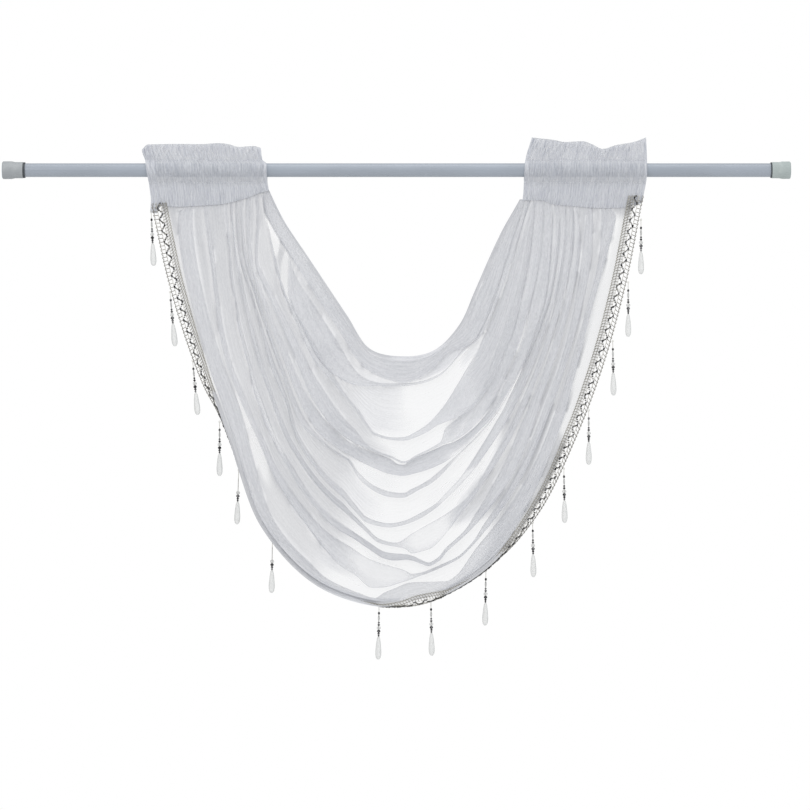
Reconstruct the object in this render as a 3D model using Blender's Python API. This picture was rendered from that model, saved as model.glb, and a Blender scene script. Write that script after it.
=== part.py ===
"""A sheer swag drape on a tension rod.

The swag is one soft sheet whose two gathered ends are sewn under frilled rod pockets. A beaded lace braid
edges its lower rim, and fifteen strings of beads hang from the braid. Metres, +Z up, front towards -Y. The
origin is the middle of the left end cap's flat face, on the rod's axis.
"""

import math
from typing import NamedTuple

import bmesh
import bpy
from mathutils import Vector

MM = 0.001
GAP = 0.3

ROD_LENGTH = 914.0
ROD_DIAMETER = 16.0
ROD_WALL = 1.0
ROD_SIDES = 24
CAP_LIP = 1.0
CAP_FLOOR = 3.0
CAP_SLACK = 0.3
CAP_STEP_START = 0.45
CAP_STEP_END = 0.62
COLLAR_STEP = 0.3

CLOTH_THICK = 1.4
HEM_THICK = 2.2
HEADING_THICK = 1.0
BRAID_WIDTH = 15.0
BRAID_LAP = 3.4
BRAID_HINGE = 3.6
BRAID_THICK = 1.6
BRAID_LIFT = (CLOTH_THICK + BRAID_THICK) / 2 + 0.8
BRAID_FLAP = BRAID_WIDTH - BRAID_LAP - BRAID_HINGE

SWAG_RUNS = 40
STEPS_PER_FOLD = 4
FOLD_SKEW = 1.6
HEADING_FOLD_DEPTH = 5.0
FOLD_RAMP = 0.24
BELLY = 16.0
BELLY_SHARES = (0.15, 0.85)
INNER_HEM_COLUMNS = 3
SEAM_GAP = 0.6
SEAM_FADE = 0.08

GATHERS = 12
POCKET_RADIUS = 10.9
POCKET_ANGLES = (50, 17, -17, -50)
POCKET_WAVE = 1.0
STITCH_ABOVE = 11.3
STITCH_BELOW = -14.5
STITCHED_OFFSET = 0.85
LOOSE_OFFSET = 1.1
FRILL_OFFSET = 1.9
FRILL_TURN = 2.5
FRILL_WAVE = 2.2
GATHER_WANDER = 0.9


class Section(NamedTuple):
    """A line across the swag, from its inner edge to the outer rim of its braid, in mm."""

    inner_x: float
    inner_z: float
    rim_x: float
    rim_z: float
    braid_turn: float  # degrees from face-on, back under the cloth


# Even shares of the run, from the left heading, down under the middle, up to the right heading.
SECTIONS = (
    Section(309, -24, 172, -36, 5),
    Section(328, -61, 193, -133, 15),
    Section(352, -97, 224, -229, 42),
    Section(376, -133, 264, -320, 80),
    Section(400, -169, 301, -415, 106),
    Section(426, -207, 370, -485, 104),
    Section(466, -216, 466, -507, 85),
    Section(502, -208, 553, -472, 72),
    Section(530, -179, 620, -401, 48),
    Section(547, -142, 664, -314, 26),
    Section(563, -105, 698, -224, 20),
    Section(580, -69, 724, -130, 16),
    Section(600, -35, 742, -38, 12),
)


class Fold(NamedTuple):
    """The front edge of one fold, as shares of the cloth's width at even shares of the run."""

    left_seam: float
    left_arm: float
    left_bend: float
    middle: float
    right_bend: float
    right_arm: float
    right_seam: float
    depth: float  # mm, how far the cloth steps back under it


FOLDS = (
    Fold(0.03, 0.06, 0.07, 0.11, 0.11, 0.12, 0.06, 9),
    Fold(0.08, 0.23, 0.27, 0.34, 0.26, 0.27, 0.13, 17),
    Fold(0.15, 0.34, 0.36, 0.48, 0.46, 0.43, 0.24, 15),
    Fold(0.24, 0.42, 0.45, 0.56, 0.53, 0.52, 0.35, 15),
    Fold(0.33, 0.51, 0.55, 0.73, 0.62, 0.61, 0.46, 19),
    Fold(0.47, 0.64, 0.70, 0.83, 0.78, 0.72, 0.57, 15),
    Fold(0.61, 0.78, 0.80, 0.90, 0.87, 0.84, 0.72, 12),
    Fold(0.76, 0.90, 0.92, 0.96, 0.94, 0.92, 0.85, 9),
)


LAST_COLUMN = (len(FOLDS) + 1) * STEPS_PER_FOLD


class Heading(NamedTuple):
    """A frilled rod pocket: its ends at the frill and at the seam, and both edges' heights, in mm."""

    side: str
    top_x: tuple
    seam_x: tuple
    top_z: tuple
    seam_z: tuple


HEADINGS = (
    Heading("left", (162, 300), (172, 309), (29, 30, 30, 31, 29, 27), (-36, -43, -42, -40, -32, -24)),
    Heading("right", (613, 747), (601, 743), (38, 35, 33, 27, 30, 38), (-35, -35, -41, -44, -44, -38)),
)


class Hanging(NamedTuple):
    """Where a bead drop hangs, as a share of the rim, and how far its foot leans to the right, in mm."""

    share: float
    lean: float


HANGINGS = (
    Hanging(0.013, 3),
    Hanging(0.091, 6),
    Hanging(0.160, 6),
    Hanging(0.225, 0),
    Hanging(0.275, -2),
    Hanging(0.350, -1),
    Hanging(0.475, -1),
    Hanging(0.528, 1),
    Hanging(0.592, -1),
    Hanging(0.658, 1),
    Hanging(0.720, 1),
    Hanging(0.783, 0),
    Hanging(0.856, 1),
    Hanging(0.916, 0),
    Hanging(0.977, 0),
)


class Turned(NamedTuple):
    """One ring of a turned profile, in mm."""

    radius: float
    along: float


DROP_SIDES = 6
DROP_LOOP = 4.0
DROP_REST = 0.95
DROP_SWING = 1.1
DROP_PROFILE = (
    Turned(0.5, 0.0),
    Turned(0.5, 4.0),
    Turned(1.9, 7.5),
    Turned(1.9, 12.0),
    Turned(0.5, 15.5),
    Turned(0.5, 23.0),
    Turned(3.0, 26.0),
    Turned(0.5, 29.5),
    Turned(0.5, 33.0),
    Turned(2.2, 36.0),
    Turned(3.7, 46.0),
    Turned(3.3, 56.0),
    Turned(0.9, 61.0),
    Turned(0.6, 63.0),
)


class Cap(NamedTuple):
    """An end cap and the dark collar beside it, in mm."""

    side: str
    length: float
    foot_diameter: float
    lip_diameter: float
    collar_length: float


CAPS = (
    Cap("left", 23.8, 20.6, 18.8, 2.3),
    Cap("right", 21.5, 20.2, 18.8, 1.2),
)


def smooth(values, share):
    """Return the value at a share of the way through evenly spaced values, on a Catmull-Rom curve."""
    place = min(max(share, 0.0), 1.0) * (len(values) - 1)
    index = min(int(place), len(values) - 2)
    t = place - index
    before = values[max(index - 1, 0)]
    start, end = values[index], values[index + 1]
    after = values[min(index + 2, len(values) - 1)]
    bend = (before - 2 * start + end) * t * (1 - t) ** 2 + (start - 2 * end + after) * t * t * (1 - t)
    return start + (end - start) * t - bend / 2


def mix(start, end, share):
    """Return the value at a share of the way from start to end."""
    return start + (end - start) * share


def clear_scene():
    """Remove every object in the scene."""
    for obj in list(bpy.data.objects):
        bpy.data.objects.remove(obj, do_unlink=True)


def material(name, colour, roughness, metallic=0.0, alpha=1.0):
    """Return a Principled material."""
    made = bpy.data.materials.new(name)
    made.use_nodes = True
    shader = made.node_tree.nodes["Principled BSDF"]
    shader.inputs["Base Color"].default_value = (*colour, 1.0)
    shader.inputs["Roughness"].default_value = roughness
    shader.inputs["Metallic"].default_value = metallic
    shader.inputs["Alpha"].default_value = alpha
    return made


def placed(name, shape, finish, parent):
    """Turn a bmesh into a named object in the scene."""
    bmesh.ops.recalc_face_normals(shape, faces=shape.faces)
    mesh = bpy.data.meshes.new(name)
    shape.to_mesh(mesh)
    shape.free()
    mesh.materials.append(finish)
    mesh.shade_smooth()
    mesh.set_sharp_from_angle(angle=math.radians(40))
    obj = bpy.data.objects.new(name, mesh)
    obj.parent = parent
    bpy.context.scene.collection.objects.link(obj)
    return obj


def skinned(rings, closed=False):
    """Return a bmesh through rings of points in mm. A closed one joins its last ring to its first."""
    shape = bmesh.new()
    loops = [[shape.verts.new(point * MM) for point in ring] for ring in rings]
    pairs = list(zip(loops, loops[1:]))
    if closed:
        pairs.append((loops[-1], loops[0]))
    else:
        shape.faces.new(loops[0])
        shape.faces.new(loops[-1])
    for first, second in pairs:
        for side, start in enumerate(first):
            after = (side + 1) % len(first)
            shape.faces.new((start, first[after], second[after], second[side]))
    return shape


def circle(sides, radius):
    """Return the points of a circle about the origin, as (across, up) in mm."""
    angles = [2 * math.pi * side / sides for side in range(sides)]
    return [(radius * math.cos(angle), radius * math.sin(angle)) for angle in angles]


def turned(name, profile, finish, parent, closed=False):
    """Spin a profile of rings round the rod's axis."""
    rings = [[Vector((ring.along, y, z)) for y, z in circle(ROD_SIDES, ring.radius)] for ring in profile]
    placed(name, skinned(rings, closed), finish, parent)


def sheet(name, grid, thickness, finish, parent, hem_columns=0):
    """Make a cloth solid round a middle surface, a grid of points in mm, with its first columns hemmed."""
    shape = bmesh.new()
    rows = [[shape.verts.new(point * MM) for point in row] for row in grid]
    for low, high in zip(rows, rows[1:]):
        for column in range(len(low) - 1):
            shape.faces.new((low[column], low[column + 1], high[column + 1], high[column]))
    obj = placed(name, shape, finish, parent)
    cloth = obj.modifiers.new("cloth", "SOLIDIFY")
    cloth.thickness = thickness * MM
    cloth.offset = 0.0
    if hem_columns:
        cloth.thickness = HEM_THICK * MM
        share = obj.vertex_groups.new(name="share_of_hem")
        for index in range(len(obj.data.vertices)):
            hemmed = index % len(grid[0]) < hem_columns
            share.add([index], 1.0 if hemmed else thickness / HEM_THICK, "REPLACE")
        cloth.vertex_group = share.name


def rod_tube(finish, parent):
    """The rod: one steel tube, open inside its caps."""
    start = CAP_FLOOR + GAP
    end = ROD_LENGTH - start
    outer = ROD_DIAMETER / 2
    bore = outer - ROD_WALL
    profile = [Turned(outer, start), Turned(outer, end), Turned(bore, end), Turned(bore, start)]
    turned("rod_tube", profile, finish, parent, closed=True)


def end_cap(cap, finish, collar_finish, parent):
    """A rubber cap pushed over one end of the rod, and the collar beside it."""
    seat = ROD_DIAMETER / 2 + CAP_SLACK
    profile = [
        Turned(cap.foot_diameter / 2 - CAP_LIP, 0),
        Turned(cap.foot_diameter / 2, CAP_LIP),
        Turned(cap.foot_diameter / 2, cap.length * CAP_STEP_START),
        Turned(cap.lip_diameter / 2, cap.length * CAP_STEP_END),
        Turned(cap.lip_diameter / 2, cap.length),
        Turned(seat, cap.length),
        Turned(seat, CAP_FLOOR),
    ]
    start = cap.length + GAP
    collar = [
        Turned(cap.lip_diameter / 2 - COLLAR_STEP, start),
        Turned(cap.lip_diameter / 2 - COLLAR_STEP, start + cap.collar_length),
        Turned(seat, start + cap.collar_length),
        Turned(seat, start),
    ]
    if cap.side == "right":
        profile = [Turned(ring.radius, ROD_LENGTH - ring.along) for ring in profile]
        collar = [Turned(ring.radius, ROD_LENGTH - ring.along) for ring in collar]
    turned(f"end_cap_{cap.side}", profile, finish, parent)
    turned(f"collar_{cap.side}", collar, collar_finish, parent, closed=True)


class PocketPoint(NamedTuple):
    """A point of a heading's layer: off its middle plane, its height, and its share of the pocket's swell."""

    offset: float
    height: float
    swell: float


def pocket_layer(top, seam):
    """Return the points of a heading's back layer, from the frill's fold down to the seam, in mm."""
    angles = [math.radians(degrees) for degrees in POCKET_ANGLES]
    return [
        PocketPoint(FRILL_OFFSET, top - FRILL_TURN, 0.0),
        PocketPoint(LOOSE_OFFSET, mix(STITCH_ABOVE, top, 0.45), 0.0),
        PocketPoint(STITCHED_OFFSET, STITCH_ABOVE, 0.0),
        *(PocketPoint(POCKET_RADIUS * math.cos(a), POCKET_RADIUS * math.sin(a), 1.0) for a in angles),
        PocketPoint(STITCHED_OFFSET, STITCH_BELOW, 0.0),
        PocketPoint(LOOSE_OFFSET, mix(STITCH_BELOW, seam, 0.5), 0.0),
        PocketPoint(LOOSE_OFFSET, seam, 0.0),
    ]


def gather_wave(station):
    """Return how far a heading's gathers stand out at a station, uneven from one to the next."""
    height = 1 + 0.3 * math.sin(2.3 * station) + 0.15 * math.sin(5.1 * station)
    return height if station % 2 else -height


def heading(piece, finish, parent):
    """A rod pocket: one strip folded at the top of its frill, gathered above and below the rod."""
    grid = []
    stations = GATHERS * 2
    for station in range(stations + 1):
        share = station / stations
        top = smooth(piece.top_z, share)
        seam = smooth(piece.seam_z, share)
        wave = gather_wave(station)
        wander = GATHER_WANDER * math.sin(1.7 * station)
        back = pocket_layer(top, seam)
        front = [point._replace(offset=-point.offset) for point in reversed(back)]
        row = []
        for point in [*front, PocketPoint(0.0, top, 0.0), *back]:
            fallen = (top - point.height) / (top - seam)
            x = mix(mix(*piece.top_x, share), mix(*piece.seam_x, share), fallen)
            x += wander * math.sin(math.pi * fallen)
            sway = FRILL_WAVE * abs(1 - 2 * fallen) * (1 - point.swell) * wave
            swell = 1 + point.swell * POCKET_WAVE * wave / POCKET_RADIUS
            row.append(Vector((x, point.offset * swell - sway, point.height * swell)))
        grid.append(row)
    sheet(f"heading_{piece.side}", grid, HEADING_THICK, finish, parent)


def section(run):
    """Return the inner edge, the cloth's outer edge and the braid's rim at a share of the run."""
    inner = Vector((smooth([s.inner_x for s in SECTIONS], run), 0, smooth([s.inner_z for s in SECTIONS], run)))
    limit = Vector((smooth([s.rim_x for s in SECTIONS], run), 0, smooth([s.rim_z for s in SECTIONS], run)))
    turn = math.radians(smooth([s.braid_turn for s in SECTIONS], run))
    across = (limit - inner).normalized()
    hinge = limit - across * BRAID_FLAP * max(math.cos(turn), 0.0)
    rim = hinge + (across * math.cos(turn) + Vector((0, math.sin(turn), 0))) * BRAID_FLAP
    return inner, hinge - across * BRAID_HINGE, rim


def fold_lines(run):
    """Return the shares of the width at which folds turn, from the inner edge to the outer one."""
    return [0.0, *(smooth(fold[:7], run) for fold in FOLDS), 1.0]


def full_width(run):
    """How far the folds have opened at a share of the run: 0 at a heading, 1 beyond the ramp."""
    near = min(run, 1 - run, FOLD_RAMP) / FOLD_RAMP
    return near * near * (3 - 2 * near)


def seam_height(run, x):
    """The height of the nearer heading's seam above a place, in mm."""
    piece = HEADINGS[0] if run < 0.5 else HEADINGS[1]
    start, end = piece.seam_x
    return smooth(piece.seam_z, (x - start) / (end - start)) - SEAM_GAP


def cloth_point(run, column):
    """Return a point of the swag's middle surface, in mm.

    Between two folds the cloth steps back under the upper one, then swells forward to the lower one.
    """
    inner, edge, _ = section(run)
    lines = fold_lines(run)
    gap = min(column // STEPS_PER_FOLD, len(lines) - 2)
    phase = column / STEPS_PER_FOLD - gap
    share = mix(lines[gap], lines[gap + 1], phase ** FOLD_SKEW)
    depths = [fold.depth for fold in FOLDS]
    deepest = mix(depths[max(gap - 1, 0)], depths[min(gap, len(depths) - 1)], 0.5)
    back = mix(HEADING_FOLD_DEPTH, deepest, full_width(run)) * (1 - math.cos(2 * math.pi * phase)) / 2
    belly = BELLY * math.sin(math.pi * run) * math.sin(math.pi * mix(*BELLY_SHARES, share))
    point = inner.lerp(edge, share) + Vector((0, back - belly, 0))
    near = max(1 - min(run, 1 - run) / SEAM_FADE, 0.0)
    top_inner, top_edge, _ = section(round(run))
    straight = top_inner.lerp(top_edge, share)
    point.z += (seam_height(run, straight.x) - straight.z) * near * near
    return point


def swag(finish, parent):
    """The sheer sheet between the headings."""
    shares = [row / SWAG_RUNS for row in range(SWAG_RUNS + 1)]
    grid = [[cloth_point(run, column) for column in range(LAST_COLUMN + 1)] for run in shares]
    sheet("swag", grid, CLOTH_THICK, finish, parent, hem_columns=INNER_HEM_COLUMNS)


def braid_line(run):
    """Return the braid's inner edge, its hinge beyond the cloth's edge and its rim at a share of the run, in mm."""
    step = 0.25 / SWAG_RUNS
    edge = cloth_point(run, LAST_COLUMN)
    inward = (cloth_point(run, LAST_COLUMN - 1) - edge).normalized()
    along = cloth_point(min(run + step, 1.0), LAST_COLUMN) - cloth_point(max(run - step, 0.0), LAST_COLUMN)
    lift = Vector((0, -BRAID_LIFT / abs(inward.cross(along).normalized().y), 0))
    flat_inner, flat_edge, flat_rim = section(run)
    outward = (flat_edge - flat_inner).normalized()
    hinge = edge + outward * BRAID_HINGE + lift
    rim = hinge + (flat_rim - flat_edge - outward * BRAID_HINGE)
    return edge + inward * BRAID_LAP + lift, hinge, rim


def braid(finish, parent):
    """The lace strip that laps the front of the cloth's lower edge and turns with it."""
    grid = []
    for row in range(SWAG_RUNS + 1):
        start, hinge, rim = braid_line(row / SWAG_RUNS)
        grid.append([start, hinge, hinge.lerp(rim, 0.5), rim])
    sheet("braid", grid, BRAID_THICK, finish, parent)


def bead_drop(number, hanging, finish, parent):
    """A string of beads with a long faceted crystal at its foot."""
    inner, edge, _ = section(hanging.share)
    outward = (edge - inner).normalized()
    _, hinge, rim = braid_line(hanging.share)
    top = rim + (rim - hinge).normalized() * DROP_REST
    rings = []
    for ring in DROP_PROFILE:
        swing = DROP_SWING * outward.x * min(ring.along / DROP_LOOP, 1.0)
        lean = hanging.lean * ring.along / DROP_PROFILE[-1].along
        middle = top + Vector((swing + lean, 0, -ring.along))
        rings.append([middle + Vector((x, y, 0)) for x, y in circle(DROP_SIDES, ring.radius)])
    placed(f"drop_{number:02d}", skinned(rings), finish, parent)


def main():
    """Build the drape."""
    clear_scene()
    drape = bpy.data.objects.new("drape", None)
    bpy.context.scene.collection.objects.link(drape)
    steel = material("rod_steel", (0.37, 0.41, 0.46), 0.35)
    rubber = material("cap_rubber", (0.38, 0.41, 0.42), 0.5)
    collar = material("collar_dark", (0.05, 0.055, 0.06), 0.6)
    voile = material("voile", (0.86, 0.86, 0.9), 0.8)
    lace = material("lace", (0.75, 0.72, 0.64), 0.85)
    beads = material("beads", (0.82, 0.84, 0.82), 0.1)

    rod_tube(steel, drape)
    for cap in CAPS:
        end_cap(cap, rubber, collar, drape)
    for piece in HEADINGS:
        heading(piece, voile, drape)
    swag(voile, drape)
    braid(lace, drape)
    for number, hanging in enumerate(HANGINGS, 1):
        bead_drop(number, hanging, beads, drape)


if __name__ == "__main__":
    main()
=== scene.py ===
"""Dresses a sheer swag on a tension rod: crinkled voile, a lace braid, strings of beads and painted steel.

Lengths are millimetres in the classes below, and metres once a piece is made.
"""

from __future__ import annotations

import logging
import math
from dataclasses import dataclass
from enum import Enum
from typing import Any, Sequence, Union

import bpy
import numpy as np
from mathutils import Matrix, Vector

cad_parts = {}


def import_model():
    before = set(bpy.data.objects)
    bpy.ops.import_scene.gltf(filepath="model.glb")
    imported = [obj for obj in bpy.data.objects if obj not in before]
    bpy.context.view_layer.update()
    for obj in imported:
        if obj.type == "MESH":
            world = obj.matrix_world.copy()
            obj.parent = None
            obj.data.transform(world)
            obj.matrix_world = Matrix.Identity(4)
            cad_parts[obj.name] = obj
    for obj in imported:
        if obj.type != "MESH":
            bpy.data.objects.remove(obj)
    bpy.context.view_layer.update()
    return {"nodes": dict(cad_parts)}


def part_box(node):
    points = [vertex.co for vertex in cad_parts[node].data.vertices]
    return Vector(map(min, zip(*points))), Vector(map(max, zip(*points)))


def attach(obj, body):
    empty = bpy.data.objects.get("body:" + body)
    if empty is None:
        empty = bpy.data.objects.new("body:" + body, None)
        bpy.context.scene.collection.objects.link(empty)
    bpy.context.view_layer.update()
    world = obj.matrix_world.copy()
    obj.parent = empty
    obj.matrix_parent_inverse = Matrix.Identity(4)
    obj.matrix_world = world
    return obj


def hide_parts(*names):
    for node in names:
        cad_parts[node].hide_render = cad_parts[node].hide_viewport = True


LOG = logging.getLogger("swag")
MM = 0.001

Array = np.ndarray
Colour = tuple[float, float, float]
Knot = tuple[float, float]
Knots = tuple[Knot, ...]
Feed = Union["Wire", float, Sequence[float]]
Feeds = dict[Union[str, int], Feed]


class Wire:
    """One output of a node, which can be used in sums."""

    def __init__(self, graph: Graph, socket: bpy.types.NodeSocket) -> None:
        """Keeps the socket and the graph that it belongs to."""
        self.graph = graph
        self.socket = socket

    def sum(self, operation: str, left: Feed, right: Feed = 0.0) -> Wire:
        """Adds one Math node and returns its result."""
        return self.graph.node("ShaderNodeMath", {"operation": operation}, {0: left, 1: right})

    def __add__(self, other: Feed) -> Wire:
        """Adds."""
        return self.sum("ADD", self, other)

    __radd__ = __add__

    def __mul__(self, other: Feed) -> Wire:
        """Multiplies."""
        return self.sum("MULTIPLY", self, other)

    __rmul__ = __mul__

    def __rsub__(self, other: Feed) -> Wire:
        """Takes this away from a number."""
        return self.sum("SUBTRACT", other, self)

    def __pow__(self, other: Feed) -> Wire:
        """Raises to a power."""
        return self.sum("POWER", self, other)

    def __rpow__(self, other: Feed) -> Wire:
        """Raises a number to this power."""
        return self.sum("POWER", other, self)


class Graph:
    """The nodes of one material or world."""

    def __init__(self, owner: bpy.types.ID) -> None:
        """Empties the owner's node tree and keeps it."""
        owner.use_nodes = True
        self.tree = owner.node_tree
        self.tree.nodes.clear()

    def node(
        self,
        kind: str,
        settings: dict[str, Any] | None = None,
        inputs: Feeds | None = None,
        output: Union[str, int] = 0,
    ) -> Wire:
        """Adds a node.

        Args:
            kind: the node's type.
            settings: its settings, with a ramp's stops under "stops".
            inputs: the values or links of its sockets.
            output: the socket to return.

        Returns:
            The chosen output.
        """
        made = self.tree.nodes.new(kind)
        for name, value in (settings or {}).items():
            if name == "stops":
                self.set_stops(made.color_ramp, value)
            else:
                setattr(made, name, value)
        for name, value in (inputs or {}).items():
            if isinstance(value, Wire):
                self.tree.links.new(value.socket, made.inputs[name])
            else:
                made.inputs[name].default_value = value
        return Wire(self, made.outputs[output]) if len(made.outputs) else Wire(self, None)

    def set_stops(self, ramp: bpy.types.ColorRamp, stops: Sequence[tuple[float, Colour]]) -> None:
        """Gives a ramp its stops, each a place and a colour."""
        while len(ramp.elements) < len(stops):
            ramp.elements.new(1.0)
        for element, (place, colour) in zip(ramp.elements, stops):
            element.position = place
            element.color = (*colour, 1.0)

    def blend(self, first: Feed, second: Feed, share: Feed) -> Wire:
        """Mixes two colours by a share."""
        ends = {0: share, 6: self.opaque(first), 7: self.opaque(second)}
        return self.node("ShaderNodeMix", {"data_type": "RGBA"}, ends, 2)

    def opaque(self, colour: Feed) -> Feed:
        """A plain colour with its fourth number, or a wire as it is."""
        return colour if isinstance(colour, Wire) else (*colour, 1.0)

    def stretched(self, place: Wire, scale: Sequence[float]) -> Wire:
        """A place multiplied by a scale along each axis."""
        return self.node("ShaderNodeVectorMath", {"operation": "MULTIPLY"}, {0: place, 1: scale})

    def noise(self, place: Wire, scale: Sequence[float], detail: float = 2.0, twist: float = 0.0) -> Wire:
        """Noise of a stretched grain.

        Args:
            place: where the noise is read.
            scale: grains in a metre along each axis.
            detail: how many finer layers it has.
            twist: how far it is distorted.

        Returns:
            A value of about 0.5, from 0 to 1.
        """
        inputs = {"Vector": self.stretched(place, scale), "Scale": 1.0, "Detail": detail, "Distortion": twist}
        return self.node("ShaderNodeTexNoise", {}, inputs)

    def ramp(self, share: Wire, low: float, high: float) -> Wire:
        """A share spread from 0 at low to 1 at high, with soft ends."""
        settings = {"interpolation_type": "SMOOTHSTEP"}
        return self.node("ShaderNodeMapRange", settings, {0: share, 1: low, 2: high, 3: 0.0, 4: 1.0})

    def bumps(self, height: Wire, strength: float, distance: float) -> Wire:
        """A normal from a height in millimetres."""
        inputs = {"Strength": strength, "Distance": distance * MM, "Height": height}
        return self.node("ShaderNodeBump", {}, inputs, "Normal")


class Fall(Enum):
    """How cloth is held where it is dressed."""

    HANGING = "hanging"
    GATHERED = "gathered"


@dataclass(frozen=True)
class Finish:
    """A finish, made as one material with one Principled shader."""

    name: str

    def make(self) -> bpy.types.Material:
        """Makes the material."""
        material = bpy.data.materials.new(self.name)
        g = Graph(material)
        coat = g.node("ShaderNodeBsdfPrincipled", {}, self.sockets(g))
        g.node("ShaderNodeOutputMaterial", {}, {"Surface": coat})
        return material

    def sockets(self, g: Graph) -> Feeds:
        """The values and links of the shader's sockets."""
        raise NotImplementedError(self.name)


@dataclass(frozen=True)
class Voile(Finish):
    """Sheer crinkled voile.

    A point's weight says how much thread a look through the cloth meets there, and its painted pleat shade how
    much its colour is darkened as painted shade, for the small pleats around it that would keep the light out.
    """

    thread: Colour
    shade: Colour
    cover: float
    fall: Fall

    def sockets(self, g: Graph) -> Feeds:
        """The values and links of the shader's sockets."""
        place = g.node("ShaderNodeUVMap", {"uv_map": "cloth"})
        weight = g.node("ShaderNodeAttribute", {"attribute_name": "weight"}, output="Fac")
        long_grain = (18, 330, 1) if self.fall is Fall.HANGING else (30, 420, 1)
        slub = g.noise(place, long_grain, 3, 0.4)
        crepe = g.noise(place, (160, 700, 1), 2, 0.8)
        cloud = g.noise(place, (9, 26, 1), 2, 0.2)
        # Painted glints: sparse white specks blended into the colour, for sparkles of light off the threads.
        painted_glint = g.ramp(g.noise(place, (420, 900, 1), 1), 0.70, 0.80)
        thick = weight * (0.28 + 0.72 * slub + 0.46 * crepe + 0.28 * cloud)
        alpha = 1 - math.e ** (thick * (-self.cover))
        tone = g.blend(self.shade, self.thread, g.ramp(0.6 * slub + 0.4 * crepe, 0.36, 0.62))
        # Painted shade: the colour is made up to 17 % darker on single layers of the gathered arms, for the shade of
        # the small pleats there.
        painted_pleat_shade = g.node("ShaderNodeAttribute", {"attribute_name": "painted_pleat_shade"}, output="Fac")
        tone = g.node("ShaderNodeVectorMath", {"operation": "SCALE"}, {0: tone, "Scale": 1 - painted_pleat_shade * 0.17})
        colour = g.blend(tone, (1.0, 1.0, 1.0), painted_glint * 0.85)
        normal = g.bumps(slub * 1.0 + crepe * 0.7, 0.55, 0.9)
        return {
            "Base Color": colour,
            "Roughness": 0.78,
            "Sheen Weight": 0.12,
            "Sheen Roughness": 0.5,
            "Specular IOR Level": 0.25,
            "Alpha": alpha,
            "Normal": normal,
        }


@dataclass(frozen=True)
class SatinPaint(Finish):
    """Satin paint on a drawn steel tube, with a faint drawn grain and a few rubbed specks."""

    colour: Colour
    rubbed: Colour

    def sockets(self, g: Graph) -> Feeds:
        """The values and links of the shader's sockets."""
        place = g.node("ShaderNodeTexCoord", output="Object")
        grain = g.noise(place, (6, 900, 900), 3)
        cloud = g.noise(place, (14, 60, 60), 3)
        speck = g.ramp(g.noise(place, (260, 400, 400), 2), 0.69, 0.78)
        tone = g.blend(self.colour, tuple(0.93 * c for c in self.colour), g.ramp(cloud, 0.35, 0.65))
        return {
            "Base Color": g.blend(tone, self.rubbed, speck * 0.5),
            "Roughness": 0.34 + 0.10 * grain + 0.05 * cloud,
            "Metallic": 0.0,
            "Coat Weight": 0.55,
            "Coat Roughness": 0.18,
            "Normal": g.bumps(grain, 0.12, 0.05),
        }


@dataclass(frozen=True)
class Moulded(Finish):
    """A moulded rubber or plastic with a fine grain."""

    colour: Colour
    worn: Colour
    roughness: float

    def sockets(self, g: Graph) -> Feeds:
        """The values and links of the shader's sockets."""
        place = g.node("ShaderNodeTexCoord", output="Object")
        grain = g.noise(place, (1500, 1500, 1500), 2)
        cloud = g.noise(place, (90, 90, 90), 3)
        return {
            "Base Color": g.blend(self.colour, self.worn, g.ramp(cloud, 0.4, 0.72)),
            "Roughness": self.roughness + 0.12 * grain,
            "Normal": g.bumps(grain, 0.2, 0.08),
        }


@dataclass(frozen=True)
class LaceCotton(Finish):
    """Twisted cotton cord, cream, with its plies and a little fluff in the bump."""

    colour: Colour
    shade: Colour

    def sockets(self, g: Graph) -> Feeds:
        """The values and links of the shader's sockets."""
        place = g.node("ShaderNodeTexCoord", output="Object")
        ply = g.noise(place, (1300, 1300, 1300), 2, 0.5)
        cloud = g.noise(place, (70, 70, 70), 2)
        share = g.ramp(0.65 * ply + 0.35 * cloud, 0.36, 0.6)
        return {
            "Base Color": g.blend(self.shade, self.colour, share),
            "Roughness": 0.82,
            "Sheen Weight": 0.1,
            "Normal": g.bumps(ply, 0.5, 0.25),
        }


@dataclass(frozen=True)
class DarkSilver(Finish):
    """The smoky silver of small seed beads, which differ a little from one to the next."""

    colour: Colour
    bright: Colour

    def sockets(self, g: Graph) -> Feeds:
        """The values and links of the shader's sockets."""
        place = g.node("ShaderNodeTexCoord", output="Object")
        each = g.noise(place, (330, 330, 330), 1)
        return {
            "Base Color": g.blend(self.colour, self.bright, g.ramp(each, 0.42, 0.66)),
            "Metallic": 0.85,
            "Roughness": 0.2 + 0.2 * each,
        }


@dataclass(frozen=True)
class ClearGlass(Finish):
    """Thin pressed glass: clear where it is looked through, glossier towards its edges, and darker there with
    painted shade.
    """

    colour: Colour
    edge: Colour
    body: float

    def sockets(self, g: Graph) -> Feeds:
        """The values and links of the shader's sockets."""
        place = g.node("ShaderNodeTexCoord", output="Object")
        wisp = g.noise(place, (240, 240, 110), 2, 0.6)
        # Painted shade: the colour darkens towards the outline by the angle of view, for the light that the glass
        # bends away at its edges.
        rim = g.node("ShaderNodeLayerWeight", {}, {"Blend": 0.42}, "Facing") ** 1.2
        return {
            "Base Color": g.blend(self.colour, self.edge, rim),
            "Roughness": 0.06 + 0.08 * wisp,
            "Specular IOR Level": 0.7,
            "Alpha": self.body * (0.5 + wisp) + rim * (0.72 - self.body),
        }


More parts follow.
